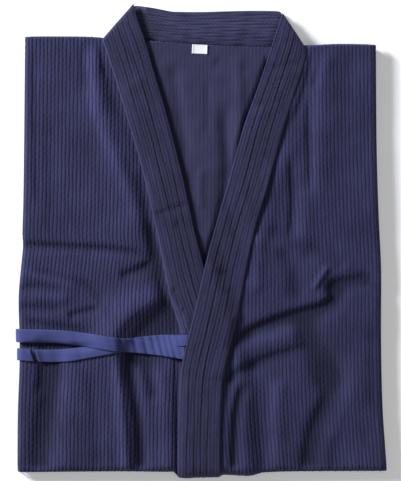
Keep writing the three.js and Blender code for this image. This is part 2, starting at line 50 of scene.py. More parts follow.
# Sizes shared with the part's solids.
STACK_HEIGHT = 21.0
EDGE_FALL = 1.8
LAPEL_GAP = 0.65
LAPEL_RISE = 3.2
LAPEL_CROWN = 0.8
LAPEL_OVERLAP = 12.0
LAYER_STEP = 2.9
LAYER_GAP = 0.3
BUTT_GAP = 0.4
COLLAR_DROOP = 10.5
NECK_DROP = 2.5
NECK_SINK = 2.6
NECK_THICKNESS = 5.0
RIB_PITCH = 5.4
TIE_GAP = 0.6
QUILT_ROWS = 6
NECK_ROWS = 11

# Sizes of the finer form.
CLOTH_WALL = 1.8
BACK_WALL = 1.4
BACK_DROP = 8.3
OPEN_DROP = 2.9
RIB_RISE = 0.9
GROOVE_WIDTH = 0.68
RIB_STRENGTHS = {-1: 1.0, 1: 0.82}
GRAIN_LENGTH = 9.2
QUILT_DEPTH = 1.0
QUILT_STRENGTHS = (0.6, 0.9, 1.2, 1.2, 1.0, 0.75)
STITCH_PITCH = 3.4
TIE_WALL = 1.1
LABEL_WALL = 0.5
UNDULATION = 0.5
DEEPEST = 6.6
HIGHEST = 7.5
TIE_CROWN = 0.15
PUCKER_ROOM = 0.75
GROOVE_SPREAD = 1.0
NECK_GROOVE = 0.95
ZIGZAG_PITCH = 6.2
ZIGZAG_REACH = 0.75

# Half the pack's width, the side that a front is laid out from, the place where the ties turn down,
# and how far below the upper face the sides of the stack end.
HALF_WIDTH = 267
FRONT_REACH = 258
ROUND_THE_EDGE = -261
RIM_DROPS = {"side": 7.9, "hem": 8.7, "shoulder": 7.6}

# Stretches over which something fades in or out: where each starts and ends.
SIDE_FADE = (-4, 7)
HEM_FADE = (0, 12)
SHOULDER_FADE = (2, 30)
SHOULDER_FREE = (8, 36)
DROOP_RUN = (284, 344)
LAPEL_SLOPE = (6, 34)
OPENING_EDGE = (-9, 9)

# A fold's line lies this share of its half width past its steep side. It is worked out this many
# half widths away and fades out over this share of its length at each end.
FOLD_SHIFT = 0.9
FOLD_REACH = 2.6
FOLD_TAPER = 0.2
RIPPLE_WAVES = 7

# How the ribs wander: with the grain and slowly, and how long the slow sway is.
GRAIN_SWAY = 0.22
SLOW_SWAY = 0.3
SWAY_LENGTH = 47

# A fold's nose is a quarter ellipse: its reach inwards and its drop.
NOSES = {"side": (8.0, 7.0), "hem": (10.0, 8.0), "shoulder": (5.0, 3.6)}

# Places across a tie's upper face, and across the under face of a tie or the neck band.
TIE_TOP = np.concatenate([[0, 0, 0.02], np.linspace(0.06, 0.94, 15), [0.98, 1, 1]])
UNDER_FACE = np.array([0.75, 0.5, 0.25])


def table(names, *rows):
    """The columns of a short table, by name."""
    return dict(zip(names.split(), np.array(rows, float).T))


def eased(coarse, steps=24, spread=0.3):
    """The same table with many rows and its corners rounded."""
    count = len(next(iter(coarse.values())))
    places = np.linspace(0, count - 1, (count - 1) * steps + 1)
    reach = int(3 * spread * steps)
    kernel = np.exp(-0.5 * (np.arange(-reach, reach + 1) / (spread * steps)) ** 2)
    kernel /= kernel.sum()
    fine = {}
    for name, column in coarse.items():
        values = np.interp(places, np.arange(count), column)
        padded = np.pad(values, reach, mode="reflect", reflect_type="odd")
        fine[name] = np.convolve(padded, kernel, "valid")
    return fine


LEFT_EDGE = eased(table(
    "up x",
    (-336, -264), (-250, -264), (-176, -260.6), (-129, -261.3), (-82, -263.2), (-27, -257.7),
    (-6, -255.4), (4, -257.5), (55, -255.3), (292, -253.2),
))
RIGHT_EDGE = eased(table(
    "up x",
    (-336, 267), (-287, 263.5), (-251, 260.8), (-195, 258.9), (-127, 258.1), (-39, 259),
    (19, 255.3), (127, 251.7), (292, 250.9),
))
HEM_EDGE = eased(table(
    "across y",
    (-264, -334.8), (-104, -332.8), (-33, -334.4), (-11, -330.4), (48, -331), (72, -335.5),
    (108, -333), (267, -332.8),
))
SHOULDER_EDGE = eased(table(
    "across y",
    (-253, 291.4), (-150, 291.4), (-142, 286.6), (-73, 285.4), (-15, 280.4), (60, 276.7),
    (147, 276.4), (190, 281), (251, 279.8),
))
NECK_EDGE = eased(table(
    "across y",
    (-136, 291.5), (-99, 338), (-73, 334.6), (-42, 327.6), (1, 327.3), (67, 329.3), (113, 329),
    (118, 322), (141, 286),
), spread=0.15)

# Edges of the two lapels from the lower fold to the neck; the inner edge borders the opening.
UNDER_LAPEL = eased(table(
    "inner_x inner_y outer_x outer_y",
    (48.3, -300, -11.1, -300), (48.3, -262, -11.1, -262), (46.8, -208.1, -11.8, -212.4),
    (41.1, -158, -16.1, -170.9), (29.7, -115.1, -29, -132.3), (13.9, -72.2, -43.3, -88),
    (2.5, -35, -51.8, -49.3), (-9.7, 10.7, -60.4, -3.6), (-24, 79.4, -75.4, 63.6),
    (-39, 139.4, -90.5, 123.7), (-54, 195.2, -107.6, 179.5), (-67.6, 239.5, -119.8, 219.5),
    (-80.4, 285.3, -130.5, 253), (-91.9, 314.6, -136.2, 271), (-97.4, 339, -141.9, 286),
))
OVER_LAPEL = eased(table(
    "inner_x inner_y outer_x outer_y",
    (-33.6, -300, 26.6, -300), (-31.8, -229.5, 28, -232.4), (-30.4, -193.8, 29.7, -202.3),
    (-25.4, -165.2, 34.7, -176.6), (-16.1, -129.4, 43.3, -143.7), (-5.4, -86.5, 53.3, -102.2),
    (7.5, -26.5, 64, -42.2), (25.4, 36.5, 77.3, 20.7), (40.4, 87.9, 94, 72.2),
    (61.9, 167.5, 114.8, 150.9), (78.3, 209.5, 127.6, 192.4), (96.9, 263.8, 143.3, 239.5),
    (108.3, 301, 150.5, 262.4), (116.9, 325.3, 147.7, 276.7),
))

# From above, the light comes from the upper left, and this is the way that it runs.
AWAY_X = 0.86
AWAY_Y = -0.51

# Creases of the fronts: depth (a swell is under 0), half width on the side that the light comes
# from, half width on the other side, and the points of the line where that first side is steepest.
CREASES = [
    # left panel, above the crease that crosses it
    (1.8, 3.6, 8, [(-152, 330), (-148, 285), (-145, 262), (-138, 226)]),
    (-2.6, 9, 10, [(-162, 330), (-161, 262), (-159, 226), (-154, 170)]),
    (-1.8, 20, 20, [(-168, 250), (-156, 178), (-140, 120), (-130, 60), (-122, -10)]),
    (-3.8, 12, 12, [(-164, 300), (-154, 190), (-141, 148), (-126, 108), (-112, 78), (-102, 40), (-98, -10)]),
    (1.8, 8, 10, [(-144, 262), (-133, 215), (-118, 176), (-100, 136), (-90, 100)]),
    (1.6, 7, 10, [(-176, 310), (-174, 262), (-172, 206)]),
    (1.3, 5, 7, [(-243, 310), (-243, 200), (-240, 90), (-238, 30)]),
    (1.8, 12, 12, [(-228, 190), (-226, 90), (-224, 10)]),
    (2.8, 9, 6, [(-96, 110), (-88, 70), (-82, 40), (-76, 0), (-70, -34)]),
    # left panel, from that crease to the ties
    (3.8, 4.4, 9, [(-300, -3), (-240, -7), (-200, -9), (-150, -11), (-110, -15), (-64, -26)]),
    (5.4, 9, 5, [(-84, 40), (-72, -8), (-65, -36), (-60, -66), (-52, -92), (-42, -110)]),
    (2.8, 16, 8, [(-86, -6), (-78, -40), (-70, -70), (-60, -104)]),
    (3.2, 6, 9, [(-124, -50), (-106, -46), (-92, -40), (-70, -28)]),
    (-1.8, 8, 6, [(-290, -44), (-240, -48), (-205, -56), (-176, -66)]),
    (3.0, 5, 8, [(-252, -40), (-212, -52), (-180, -59), (-156, -70), (-140, -94)]),
    (2.2, 5, 9, [(-300, -76), (-252, -66), (-230, -65), (-196, -76)]),
    (-1.6, 7, 7, [(-252, -78), (-222, -80), (-190, -84)]),
    (2.6, 6, 8, [(-300, -96), (-248, -95), (-196, -99)]),
    (2.4, 4.5, 7, [(-196, -109), (-176, -102), (-146, -97)]),
    (2.6, 5, 8, [(-262, -114), (-226, -121), (-190, -125), (-150, -134)]),
    (-6.0, 22, 13, [(-156, -180), (-150, -138), (-138, -108), (-116, -88), (-90, -76), (-56, -64)]),
    (9.0, 16, 30, [(-106, -190), (-100, -148), (-92, -128), (-80, -116), (-60, -108), (-30, -106)]),
    # left panel, between the ties and below them
    (4.6, 4.5, 6, [(-276, -149), (-232, -150), (-200, -151), (-150, -152)]),
    (7.0, 16, 14, [(-222, -110), (-221, -180), (-228, -220), (-238, -260), (-241, -300), (-242, -420)]),
    (3.4, 8, 10, [(-236, -130), (-233, -170), (-233, -192), (-238, -226)]),
    (-2.2, 13, 20, [(-200, -150), (-200, -210), (-204, -280), (-204, -410)]),
    (1.5, 9, 10, [(-166, -180), (-158, -250), (-152, -410)]),
    (-4.4, 10, 7, [(-132, -130), (-127, -190), (-118, -260), (-108, -410)]),
    (7.5, 7.5, 8, [(-110, -130), (-108, -180), (-103, -206), (-97, -240), (-91, -280), (-90, -430)]),
    (4.2, 9, 8, [(-92, -140), (-84, -176), (-77, -200), (-72, -236)]),
    (-2.2, 9, 14, [(-68, -170), (-60, -210), (-58, -250), (-56, -410)]),
    (2.2, 4.5, 6, [(-39, -150), (-39, -200), (-38, -280), (-37, -390)]),
    # right panel, above the long slanting crease
    (2.0, 5, 8, [(160, 330), (155, 262), (147, 226), (138, 198), (124, 156)]),
    (-1.8, 8, 16, [(134, 176), (112, 120), (100, 86), (88, 46), (80, 10), (76, -20)]),
    (1.8, 5, 6, [(166, 320), (167, 264), (161, 236), (154, 214)]),
    (-3.0, 10, 18, [(168, 320), (166, 230), (162, 180), (160, 130), (156, 40)]),
    (2.4, 5, 7, [(149, 220), (150, 150), (152, 116), (154, 60)]),
    (2.8, 5, 8, [(123, 130), (126, 90), (128, 60), (126, 30), (122, -6)]),
    (-1.8, 9, 12, [(140, 84), (141, 40), (138, -6)]),
    (2.2, 12, 13, [(84, 22), (110, 10), (132, -5), (160, -28)]),
    (-2.6, 14, 10, [(72, 20), (70, -30), (68, -76)]),
    (3.0, 12, 12, [(100, 0), (122, -34), (128, -50), (128, -94)]),
    (2.0, 9, 12, [(140, -4), (176, -18), (200, -40)]),
    (-2.6, 5, 4, [(156, -72), (167, -52), (180, -34)]),
    (1.2, 14, 12, [(206, 300), (198, 220), (192, 130)]),
    (5.0, 8, 13, [(170, -76), (187, -62), (205, -57), (250, -50)]),
    (2.6, 8, 7, [(226, -54), (246, -66), (290, -80)]),
    # right panel, from that crease down
    (7.5, 7, 15, [
        (26, -156), (56, -134), (76, -124), (110, -111), (150, -101), (172, -94), (187, -80), (188, -64),
        (172, -46),
    ]),
    (3.4, 7, 8, [(46, -104), (42, -140), (36, -170), (31, -250)]),
    (-3.6, 14, 17, [(42, -148), (86, -134), (136, -122)]),
    (3.4, 6.5, 13, [(10, -208), (50, -185), (74, -175), (100, -163), (166, -148)]),
    (5.6, 20, 14, [(126, -84), (146, -134), (158, -168), (176, -220)]),
    (6.6, 12, 16, [(170, -140), (183, -192), (174, -224), (160, -250), (147, -284), (132, -420)]),
    (-1.2, 16, 16, [(206, -150), (204, -220), (206, -270), (210, -390)]),
    (5.0, 6, 9, [(56, -196), (49, -226), (45, -250), (43, -290), (42, -420)]),
    (-2.8, 9, 12, [(103, -190), (102, -240), (103, -420)]),
    (1.3, 12, 8, [(84, -190), (80, -260), (80, -410)]),
    (1.6, 10, 12, [(186, -270), (182, -310), (180, -390)]),
    (1.2, 9, 12, [(240, -110), (238, -180), (243, -260)]),
]

# Soft folds of the back where it shows, of the under lapel and of the over lapel.
BACK_FOLDS = [
    (5.0, 11, 10, [(24, 210), (28, 150), (31, 110), (28, 72), (16, 14)]),
    (-2.2, 9, 8, [(46, 280), (48, 200), (50, 130)]),
    (2.2, 9, 9, [(-48, 262), (-40, 200), (-24, 110)]),
    (1.2, 8, 10, [(10, 262), (30, 248), (66, 244)]),
    (-1.4, 6, 6, [(-4, 110), (-8, 70), (-2, 44)]),
    (1.2, 6, 7, [(4, 236), (6, 190), (4, 150)]),
]
UNDER_LAPEL_FOLDS = [
    (1.6, 4, 6, [(-70, 36), (-50, 44), (-18, 52)]),
    (1.4, 7, 7, [(-46, 26), (-28, 20), (-8, 22)]),
    (2.8, 8, 8, [(-52, -66), (-32, -84), (-8, -98)]),
    (1.5, 4, 6, [(-60, -100), (-40, -112), (-26, -132)]),
    (-1.6, 7, 5, [(-54, -92), (-30, -98)]),
    (-1.2, 9, 9, [(-120, 214), (-86, 236)]),
]
OVER_LAPEL_FOLDS = [
    (-2.6, 40, 30, [(22, 70), (92, 90)]),
    (0.9, 4, 6, [(8, -44), (34, -48), (50, -56), (76, -60)]),
    (0.8, 5, 6, [(-6, -70), (24, -74), (56, -68)]),
    (2.2, 7, 10, [(24, 84), (34, 50), (42, 24), (46, -10)]),
    (2.0, 13, 10, [(154, 310), (140, 262), (128, 226), (108, 160)]),
    (1.2, 5, 7, [(-34, -186), (-10, -196), (10, -200), (36, -196)]),
    (1.0, 6, 8, [(60, 190), (84, 196), (130, 206)]),
    (1.1, 6, 8, [(84, 246), (112, 250), (150, 256)]),
]
NECK_FOLDS = [
    (5.2, 12, 16, [(-112, 384), (-94, 336), (-80, 300), (-72, 262)]),
    (1.0, 8, 8, [(-30, 340), (-20, 306), (-24, 276)]),
    (1.2, 9, 9, [(60, 340), (66, 306), (52, 276)]),
]
# The underside: the edge of the turned-up lower end, the edges of both sleeves, and soft folds.
UNDERSIDE_FOLDS = [
    (3.4, 5, 12, [(-256, -172), (-130, -182), (10, -177), (140, -187), (256, -180)]),
    (3.0, 5, 11, [(-52, -186), (-64, -60), (-57, 80), (-74, 258)]),
    (3.0, 6, 11, [(80, -186), (66, -30), (79, 110), (68, 262)]),
    (2.2, 10, 14, [(-214, 70), (-160, 26), (-96, -34)]),
    (1.8, 11, 12, [(236, 128), (176, 98), (112, 108)]),
    (2.0, 9, 13, [(-18, 206), (12, 124), (0, 38)]),
    (1.7, 10, 12, [(-206, -236), (-96, -262), (24, -250)]),
    (1.6, 9, 12, [(150, -70), (190, -110), (232, -122)]),
    (1.5, 8, 10, [(90, -226), (150, -244), (214, -238)]),
]

# How far inside the outline each ring of the underside runs.
UNDERSIDE_BACKS = (
    *range(250, 137, -14), 125, 112, 100, 88, 77, 66, 56, 46, 37, 29, 22, 16, 11, 7, 5,
)

# Centre lines of the ties from the left edge to the over lapel, and how far each is lifted.
UPPER_TIE = eased(table(
    "x y width lift",
    (-262, -137.8, 18.8, 0), (-216.3, -138.4, 18.8, 1.2), (-195, -139.8, 18.8, 1.6),
    (-172, -142.6, 19, 1.8), (-150, -145.6, 19.6, 2), (-123.3, -150.2, 20, 2),
    (-87.6, -153.4, 19, 2), (-59, -157.3, 17.4, 2), (-42, -160, 17, 2), (-24.8, -162.3, 17, 2),
))
LOWER_TIE = eased(table(
    "x y width lift",
    (-262, -164.6, 17, 0), (-223.4, -167.2, 17.4, 0), (-202, -166.5, 17.8, 0),
    (-180.5, -164.5, 18, 0), (-159.1, -160.2, 17.6, 0), (-123.3, -153, 18.6, 0),
    (-87.6, -148.6, 18, 0), (-59, -144.4, 16, 0), (-30.4, -144.6, 16, 0), (-20.4, -144.4, 16, 0),
))

# Small puckers across the ties: place along the tie, depth and half width.
TIE_PUCKERS = table(
    "x depth width",
    (-214, 0.3, 4), (-176, 0.5, 5), (-128, 0.5, 4), (-113, 1.2, 2.8), (-95, 1.5, 3), (-80, 1.7, 2.8),
    (-68, 1.6, 2.4), (-58, 1.5, 2.2), (-49, 1.2, 2), (-41, 1.3, 2.2), (-31, 0.8, 2.4),
)

LABEL = {"x": -2.2, "y": 272.4, "width": 22.0, "height": 13.0, "lean": math.radians(-2.6)}

# Sides of the hidden stack from the table up: share of the height there and how far the
# surface lies back from the outline, at the sides, at the lower fold and at the shoulder.
STACK_SIDES = table(
    "share side hem shoulder",
    (0, 3.6, 3.6, 3), (0.05, 1.6, 1.6, 1.2), (0.14, 0.7, 0.7, 0.5), (0.22, 0.8, 0.8, 1.9),
    (0.27, 0.7, 1.6, 2.6), (0.33, 0.9, 0.9, 1.4), (0.42, 1.4, 1.6, 1), (0.49, 2.8, 3, 1.6),
    (0.53, 4.8, 4.6, 3.2), (0.57, 3, 2.8, 2), (0.63, 1.4, 1.3, 0.8), (0.7, 0.5, 0.5, 1.6),
    (0.75, 0.4, 0.9, 3), (0.8, 0, 0.2, 2.2), (0.88, -0.2, -0.1, 1.2), (1, 0, 0, 1),
)

# Heights of the rings of the stack's sides, where its lower end and its shoulders begin, and how far
# its middle is from each edge.
STACK_SHARES = np.concatenate([
    np.linspace(0, 0.24, 9), np.linspace(0.26, 0.62, 15), np.linspace(0.65, 1, 11),
])
HEM_TURN = (322, 331)
SHOULDER_TURN = (262, 272)
STACK_SPANS = {"side": 260, "hem": 333, "shoulder": 283}
AT_HEM = -320.0

# What the shared cotton effect takes from each material, beside its dye. The first two are painted shade:
# darker grooves, and darker creases with paler swells.
EFFECT_INPUTS = ("Painted furrow shade", "Painted crease shade", "Thread size", "Thread relief", "Mottle")


def smoothstep(value, low, high):
    """0 below low, 1 above high and a soft step between them."""
    share = np.clip((value - low) / (high - low), 0, 1)
    return share * share * (3 - 2 * share)


def blend(low, high, share):
    """From low at 0 to high at 1."""
    return low + (high - low) * share


def left_x(y):
    return np.interp(y, LEFT_EDGE["up"], LEFT_EDGE["x"])


def right_x(y):
    return np.interp(y, RIGHT_EDGE["up"], RIGHT_EDGE["x"])


def hem_y(x):
    return np.interp(x, HEM_EDGE["across"], HEM_EDGE["y"])


def shoulder_y(x):
    return np.interp(x, SHOULDER_EDGE["across"], SHOULDER_EDGE["y"])


def inner_x(lapel, y):
    return np.interp(y, lapel["inner_y"], lapel["inner_x"])


def outer_x(lapel, y):
    return np.interp(y, lapel["outer_y"], lapel["outer_x"])


def from_line(line, x, y):
    """Distance of points from a line of points, how far on its side away from the light, from -1
    to 1, and how far along it, from 0 to 1."""
    nearest = np.full(x.shape, 1e9)
    side = np.zeros(x.shape)
    run = np.zeros(x.shape)
    for step, ((ax, ay), (bx, by)) in enumerate(zip(line, line[1:])):
        dx, dy = bx - ax, by - ay
        share = np.clip(((x - ax) * dx + (y - ay) * dy) / (dx * dx + dy * dy), 0, 1)
        off_x, off_y = x - ax - share * dx, y - ay - share * dy
        gap = np.hypot(off_x, off_y)
        closer = gap < nearest
        nearest = np.where(closer, gap, nearest)
        side = np.where(closer, (off_x * AWAY_X + off_y * AWAY_Y) / np.maximum(gap, 1e-6), side)
        run = np.where(closer, step + share, run)
    return nearest, side, run / (len(line) - 1)


def folds_at(folds, x, y):
    """How deep the soft troughs of a table lie at each point."""
    x, y = np.broadcast_arrays(np.asarray(x, float), np.asarray(y, float))
    total = np.zeros(x.shape)
    for depth, near_width, far_width, points in folds:
        path = eased(table("x y", *points), steps=6, spread=0.4)
        xs = path["x"] + FOLD_SHIFT * near_width * AWAY_X
        ys = path["y"] + FOLD_SHIFT * near_width * AWAY_Y
        line = list(zip(xs, ys))
        reach = FOLD_REACH * max(near_width, far_width)
        near = (x > xs.min() - reach) & (x < xs.max() + reach)
        near &= (y > ys.min() - reach) & (y < ys.max() + reach)
        gap, side, run = from_line(line, x[near], y[near])
        half = blend(near_width, far_width, (1 + side) / 2)
        ends = smoothstep(run, 0, FOLD_TAPER) * smoothstep(1 - run, 0, FOLD_TAPER)
        total[near] += depth * ends * np.exp(-((gap / half) ** 2))
    return total


def ripple(x, y, size, seed):
    """Slow, uneven swelling from -1 to 1, the same on every run."""
    draw = np.random.default_rng(seed)
    total = np.zeros(np.broadcast(x, y).shape)
    for _ in range(RIPPLE_WAVES):
        heading = draw.uniform(0, FULL_TURN)
        pace = FULL_TURN / (size * draw.uniform(0.6, 1.7))
        start = draw.uniform(0, FULL_TURN)
        total += np.sin((x * math.cos(heading) + y * math.sin(heading)) * pace + start)
    return total / (RIPPLE_WAVES / 2)


def crease_at(x, y):
    """Depth of the fronts' creases, which fade out before the folded edges."""
    sides = smoothstep(np.minimum(x - left_x(y), right_x(y) - x), *SIDE_FADE)
    ends = smoothstep(y - hem_y(x), *HEM_FADE) * smoothstep(shoulder_y(x) - y, *SHOULDER_FADE)
    depth = folds_at(CREASES, x, y) + UNDULATION * ripple(x, y, 60, 4)
    limit = np.where(depth > 0, DEEPEST, HIGHEST)
    depth = depth / (1 + (depth / limit) ** 4) ** 0.25
    return depth * sides * ends


def level_at(x, y):
    """Height of the pack's upper face before it is creased."""
    droop = COLLAR_DROOP * smoothstep(y, *DROOP_RUN)
    return STACK_HEIGHT - EDGE_FALL * (x / HALF_WIDTH) ** 2 - droop


def base_at(x, y):
    """Height of the right front's outer face."""
    return level_at(x, y) - crease_at(x, y)


def lapel_bulge(x, y):
    """What the under lapel adds to the layers above it."""
    beside = np.maximum(x - inner_x(UNDER_LAPEL, y), outer_x(UNDER_LAPEL, y) - x)
    return (LAPEL_RISE + LAPEL_CROWN + LAYER_GAP) * (1 - smoothstep(beside, *LAPEL_SLOPE))


def no_raise(x, y):
    """The right front lies on the back alone, so nothing lifts it."""
    return np.zeros(np.broadcast(x, y).shape)


def over_raise(x, y):
    """How far the left front is lifted by what lies under it."""
    covered = 1 - smoothstep(x - inner_x(UNDER_LAPEL, y), *LAPEL_SLOPE)
    return LAYER_STEP * covered + lapel_bulge(x, y)


def open_at(x, y):
    """How far the neck opening frees the back, from 0 under a lapel to 1."""
    left = smoothstep(x - inner_x(UNDER_LAPEL, y), *OPENING_EDGE)
    return left * smoothstep(inner_x(OVER_LAPEL, y) - x, *OPENING_EDGE)


def back_height(x, y):
    """Height of the back's inner face, which shows in the neck opening."""
    free = np.maximum(open_at(x, y), 1 - smoothstep(shoulder_y(x) - y, *SHOULDER_FREE))
    folds = folds_at(BACK_FOLDS, x, y) + 0.3 * ripple(x, y, 34, 9)
    return level_at(x, y) - blend(BACK_DROP, OPEN_DROP, free) - folds * open_at(x, y)


def nose_inset(kind, turn, out):
    """How far inside the fold's edge a layer lies at a turn, 90 degrees being flat."""
    reach = NOSES[kind][0]
    return np.maximum(reach + out, 0) * (1 - np.cos(turn)) - out


def nose_fall(kind, turn, out):
    """How far below the flat a layer lies at a turn."""
    drop = NOSES[kind][1]
    return np.maximum(drop + out, 0) * (1 - np.sin(turn))


def nose_length(kind):
    """Length of the cloth round a quarter of a fold."""
    reach, drop = NOSES[kind]
    return math.pi / 2 * math.sqrt((reach**2 + drop**2) / 2)


def rib_relief(along, up):
    """Height of the ribs, and how deep in a groove each point lies, from 0 to 1."""
    row = np.round(along / RIB_PITCH)
    sway = GRAIN_SWAY * np.sin(FULL_TURN * up / GRAIN_LENGTH + math.pi * row)
    sway += SLOW_SWAY * np.sin(FULL_TURN * up / SWAY_LENGTH + 1.7 * row)
    gap = np.abs(along - row * RIB_PITCH - sway)
    furrow = np.exp(-((gap / GROOVE_WIDTH) ** 2))
    grain = 0.82 + 0.18 * np.cos(FULL_TURN * up / GRAIN_LENGTH + math.pi * np.floor(along / RIB_PITCH))
    return RIB_RISE * (grain * (1 - furrow) - 1), furrow


def triangles(ids, flip=False):
    """Two triangles for each cell of a grid of vertex numbers, without empty ones."""
    a, b = ids[:-1, :-1].ravel(), ids[:-1, 1:].ravel()
    c, d = ids[1:, 1:].ravel(), ids[1:, :-1].ravel()
    faces = np.concatenate([np.stack([a, b, c], 1), np.stack([a, c, d], 1)])
    if flip:
        faces = faces[:, ::-1]
    return faces[(faces[:, 0] != faces[:, 1]) & (faces[:, 1] != faces[:, 2]) & (faces[:, 2] != faces[:, 0])]


def zipped(line_a, line_b, flip=False):
    """Triangles that join two lines of vertex numbers of any two lengths."""
    last_a, last_b = len(line_a) - 1, len(line_b) - 1
    i, j = 0, 0
    faces = []
    while i < last_a or j < last_b:
        if j >= last_b or (i < last_a and (i + 1) / last_a <= (j + 1) / last_b):
            faces.append((line_a[i + 1], line_a[i], line_b[j]))
            i += 1
        else:
            faces.append((line_b[j], line_b[j + 1], line_a[i]))
            j += 1
    faces = np.array([face for face in faces if len(set(face)) == 3])
    return faces[:, ::-1] if flip else faces


class Cloth:
    """Gathers the points and faces of one piece, with where each point lies on the cloth and the painted
    shade of its grooves and creases.
    """

    def __init__(self):
        self.points = []
        self.weave = []
        self.furrow = []
        self.painted_crease_shade = []
        self.faces = []
        self.count = 0

    def grid(self, points, along=None, up=None, furrow=None, painted_crease_shade=None):
        """Adds a grid of points and returns its vertex numbers."""
        shape = points.shape[:2]
        along = points[..., 0] if along is None else along
        up = points[..., 1] if up is None else up
        furrow = np.zeros(shape) if furrow is None else furrow
        painted_crease_shade = np.zeros(shape) if painted_crease_shade is None else painted_crease_shade
        weave = np.stack(np.broadcast_arrays(along, up, np.zeros(shape)), -1)
        self.points.append(points.reshape(-1, 3))
        self.weave.append(weave.reshape(-1, 3))
        self.furrow.append(np.broadcast_to(furrow, shape).reshape(-1))
        self.painted_crease_shade.append(np.broadcast_to(painted_crease_shade, shape).reshape(-1))
        ids = self.count + np.arange(shape[0] * shape[1]).reshape(shape)
        self.count += ids.size
        return ids

    def close(self, upper, lower):
        """Faces of a sheet with an upper and a lower grid, and of its rim."""
        self.faces += [
            triangles(upper),
            triangles(lower, flip=True),
            zipped(upper[0], lower[0]),
            zipped(upper[-1], lower[-1], flip=True),
            zipped(upper[:, 0], lower[:, 0], flip=True),
            zipped(upper[:, -1], lower[:, -1]),
        ]

    def tube(self, rings):
        """Faces round a row of rings and over both ends."""
        wrapped = np.concatenate([rings, rings[:, :1]], 1)
        half = rings.shape[1] // 2
        self.faces.append(triangles(wrapped))
        for ring, flip in ((rings[0], False), (rings[-1], True)):
            self.faces.append(zipped(ring[: half + 1], np.append(ring[half:], ring[0])[::-1], flip))

    def build(self, name, finish):
        """The mesh object, in metres, with its finish."""
        points = np.concatenate(self.points)
        faces = np.concatenate(self.faces)
        used, faces = np.unique(faces, return_inverse=True)
        faces = faces.reshape(-1, 3)
        a, b, c = (points[used[faces[:, k]]] for k in range(3))
        if np.einsum("ij,ij->i", a, np.cross(b, c)).sum() < 0:
            faces = faces[:, ::-1]
        mesh = bpy.data.meshes.new(name)
        mesh.from_pydata((points[used] * MM).tolist(), [], faces.tolist())
        weave = mesh.attributes.new("weave", "FLOAT_VECTOR", "POINT")
        weave.data.foreach_set("vector", np.concatenate(self.weave)[used].astype(np.float32).ravel())
        for key, values in (("furrow", self.furrow), ("painted_crease_shade", self.painted_crease_shade)):
            made = mesh.attributes.new(key, "FLOAT", "POINT")
            made.data.foreach_set("value", np.concatenate(values)[used].astype(np.float32))
        mesh.shade_smooth()
        mesh.materials.append(finish)
        piece = bpy.data.objects.new(name, mesh)
        bpy.context.scene.collection.objects.link(piece)
        return piece


def plan_area(points):
    """Area of a grid of points seen from above, in square metres."""
    across = points[:-1, 1:, :2] - points[:-1, :-1, :2]
    up = points[1:, :-1, :2] - points[:-1, :-1, :2]
    return float(np.abs(across[..., 0] * up[..., 1] - across[..., 1] * up[..., 0]).sum()) * MM * MM


def declare(piece, node):
    """Rides the root and stands for a node, whose solid it hides."""
    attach(piece, "root")
    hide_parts(node)


def front_points(side, seam_x, raise_at, along, rows, wall):
    """Points of a front at distances along the cloth from its folded side, on rows of the body.
    rows holds a turn and a share of the height for each row; the seam ends each one."""
    turn_y, share = (np.array(column)[:, None] for column in zip(*rows))
    bend = nose_length("side")
    turn_x = np.radians(np.clip(along / bend, -0.25, 1) * 90)[None, :]
    flat_inset = NOSES["side"][0] + np.maximum(along - bend, 0)[None, :]
    near_x = side * (FRONT_REACH - flat_inset)
    low, high = hem_y(near_x), shoulder_y(near_x)
    flat_y = blend(low + NOSES["hem"][0], high - NOSES["shoulder"][0], share)
    lifted = raise_at(near_x, flat_y)
    relief, furrow = rib_relief(along[None, :] + 0 * flat_y, flat_y) if wall == 0 else (0, 0)
    relief = relief * RIB_STRENGTHS[side]
    furrow = furrow * RIB_STRENGTHS[side]
    out = lifted + relief - wall
    hem_end, high_end = (share == 0) & (turn_y < 90), (share == 1) & (turn_y < 90)
    turn = np.radians(turn_y)
    y = np.where(hem_end, low + nose_inset("hem", turn, out), flat_y)
    y = np.where(high_end, high - nose_inset("shoulder", turn, out), y)
    fall = np.where(hem_end, nose_fall("hem", turn, out), 0)
    fall = np.where(high_end, nose_fall("shoulder", turn, out), fall)
    on_nose = along[None, :] < bend
    inset = np.where(on_nose, nose_inset("side", turn_x, out), flat_inset)
    fall = fall + np.where(on_nose, nose_fall("side", turn_x, out), 0)
    edge = right_x(y) if side > 0 else left_x(y)
    room = side * edge - side * seam_x(y)
    past = inset > room
    x = edge - side * np.where(past, room, inset)
    z = base_at(x, y) + out - fall
    return np.stack([x, y, z], -1), flat_y, furrow, past


def body_rows(spacing):
    """Rows of the body: round the lower fold, up the front and round the shoulder."""
    hem_step, shoulder_step, flat_rows = 6.0 * spacing, 10.0 * spacing, round(265 / spacing)
    hem = [(turn, 0.0) for turn in np.arange(-12, 90, hem_step)]
    flat = [(90.0, share) for share in np.linspace(0, 1, flat_rows)]
    shoulder = [(turn, 1.0) for turn in np.arange(84, -8, -shoulder_step)]
    return hem + flat + shoulder


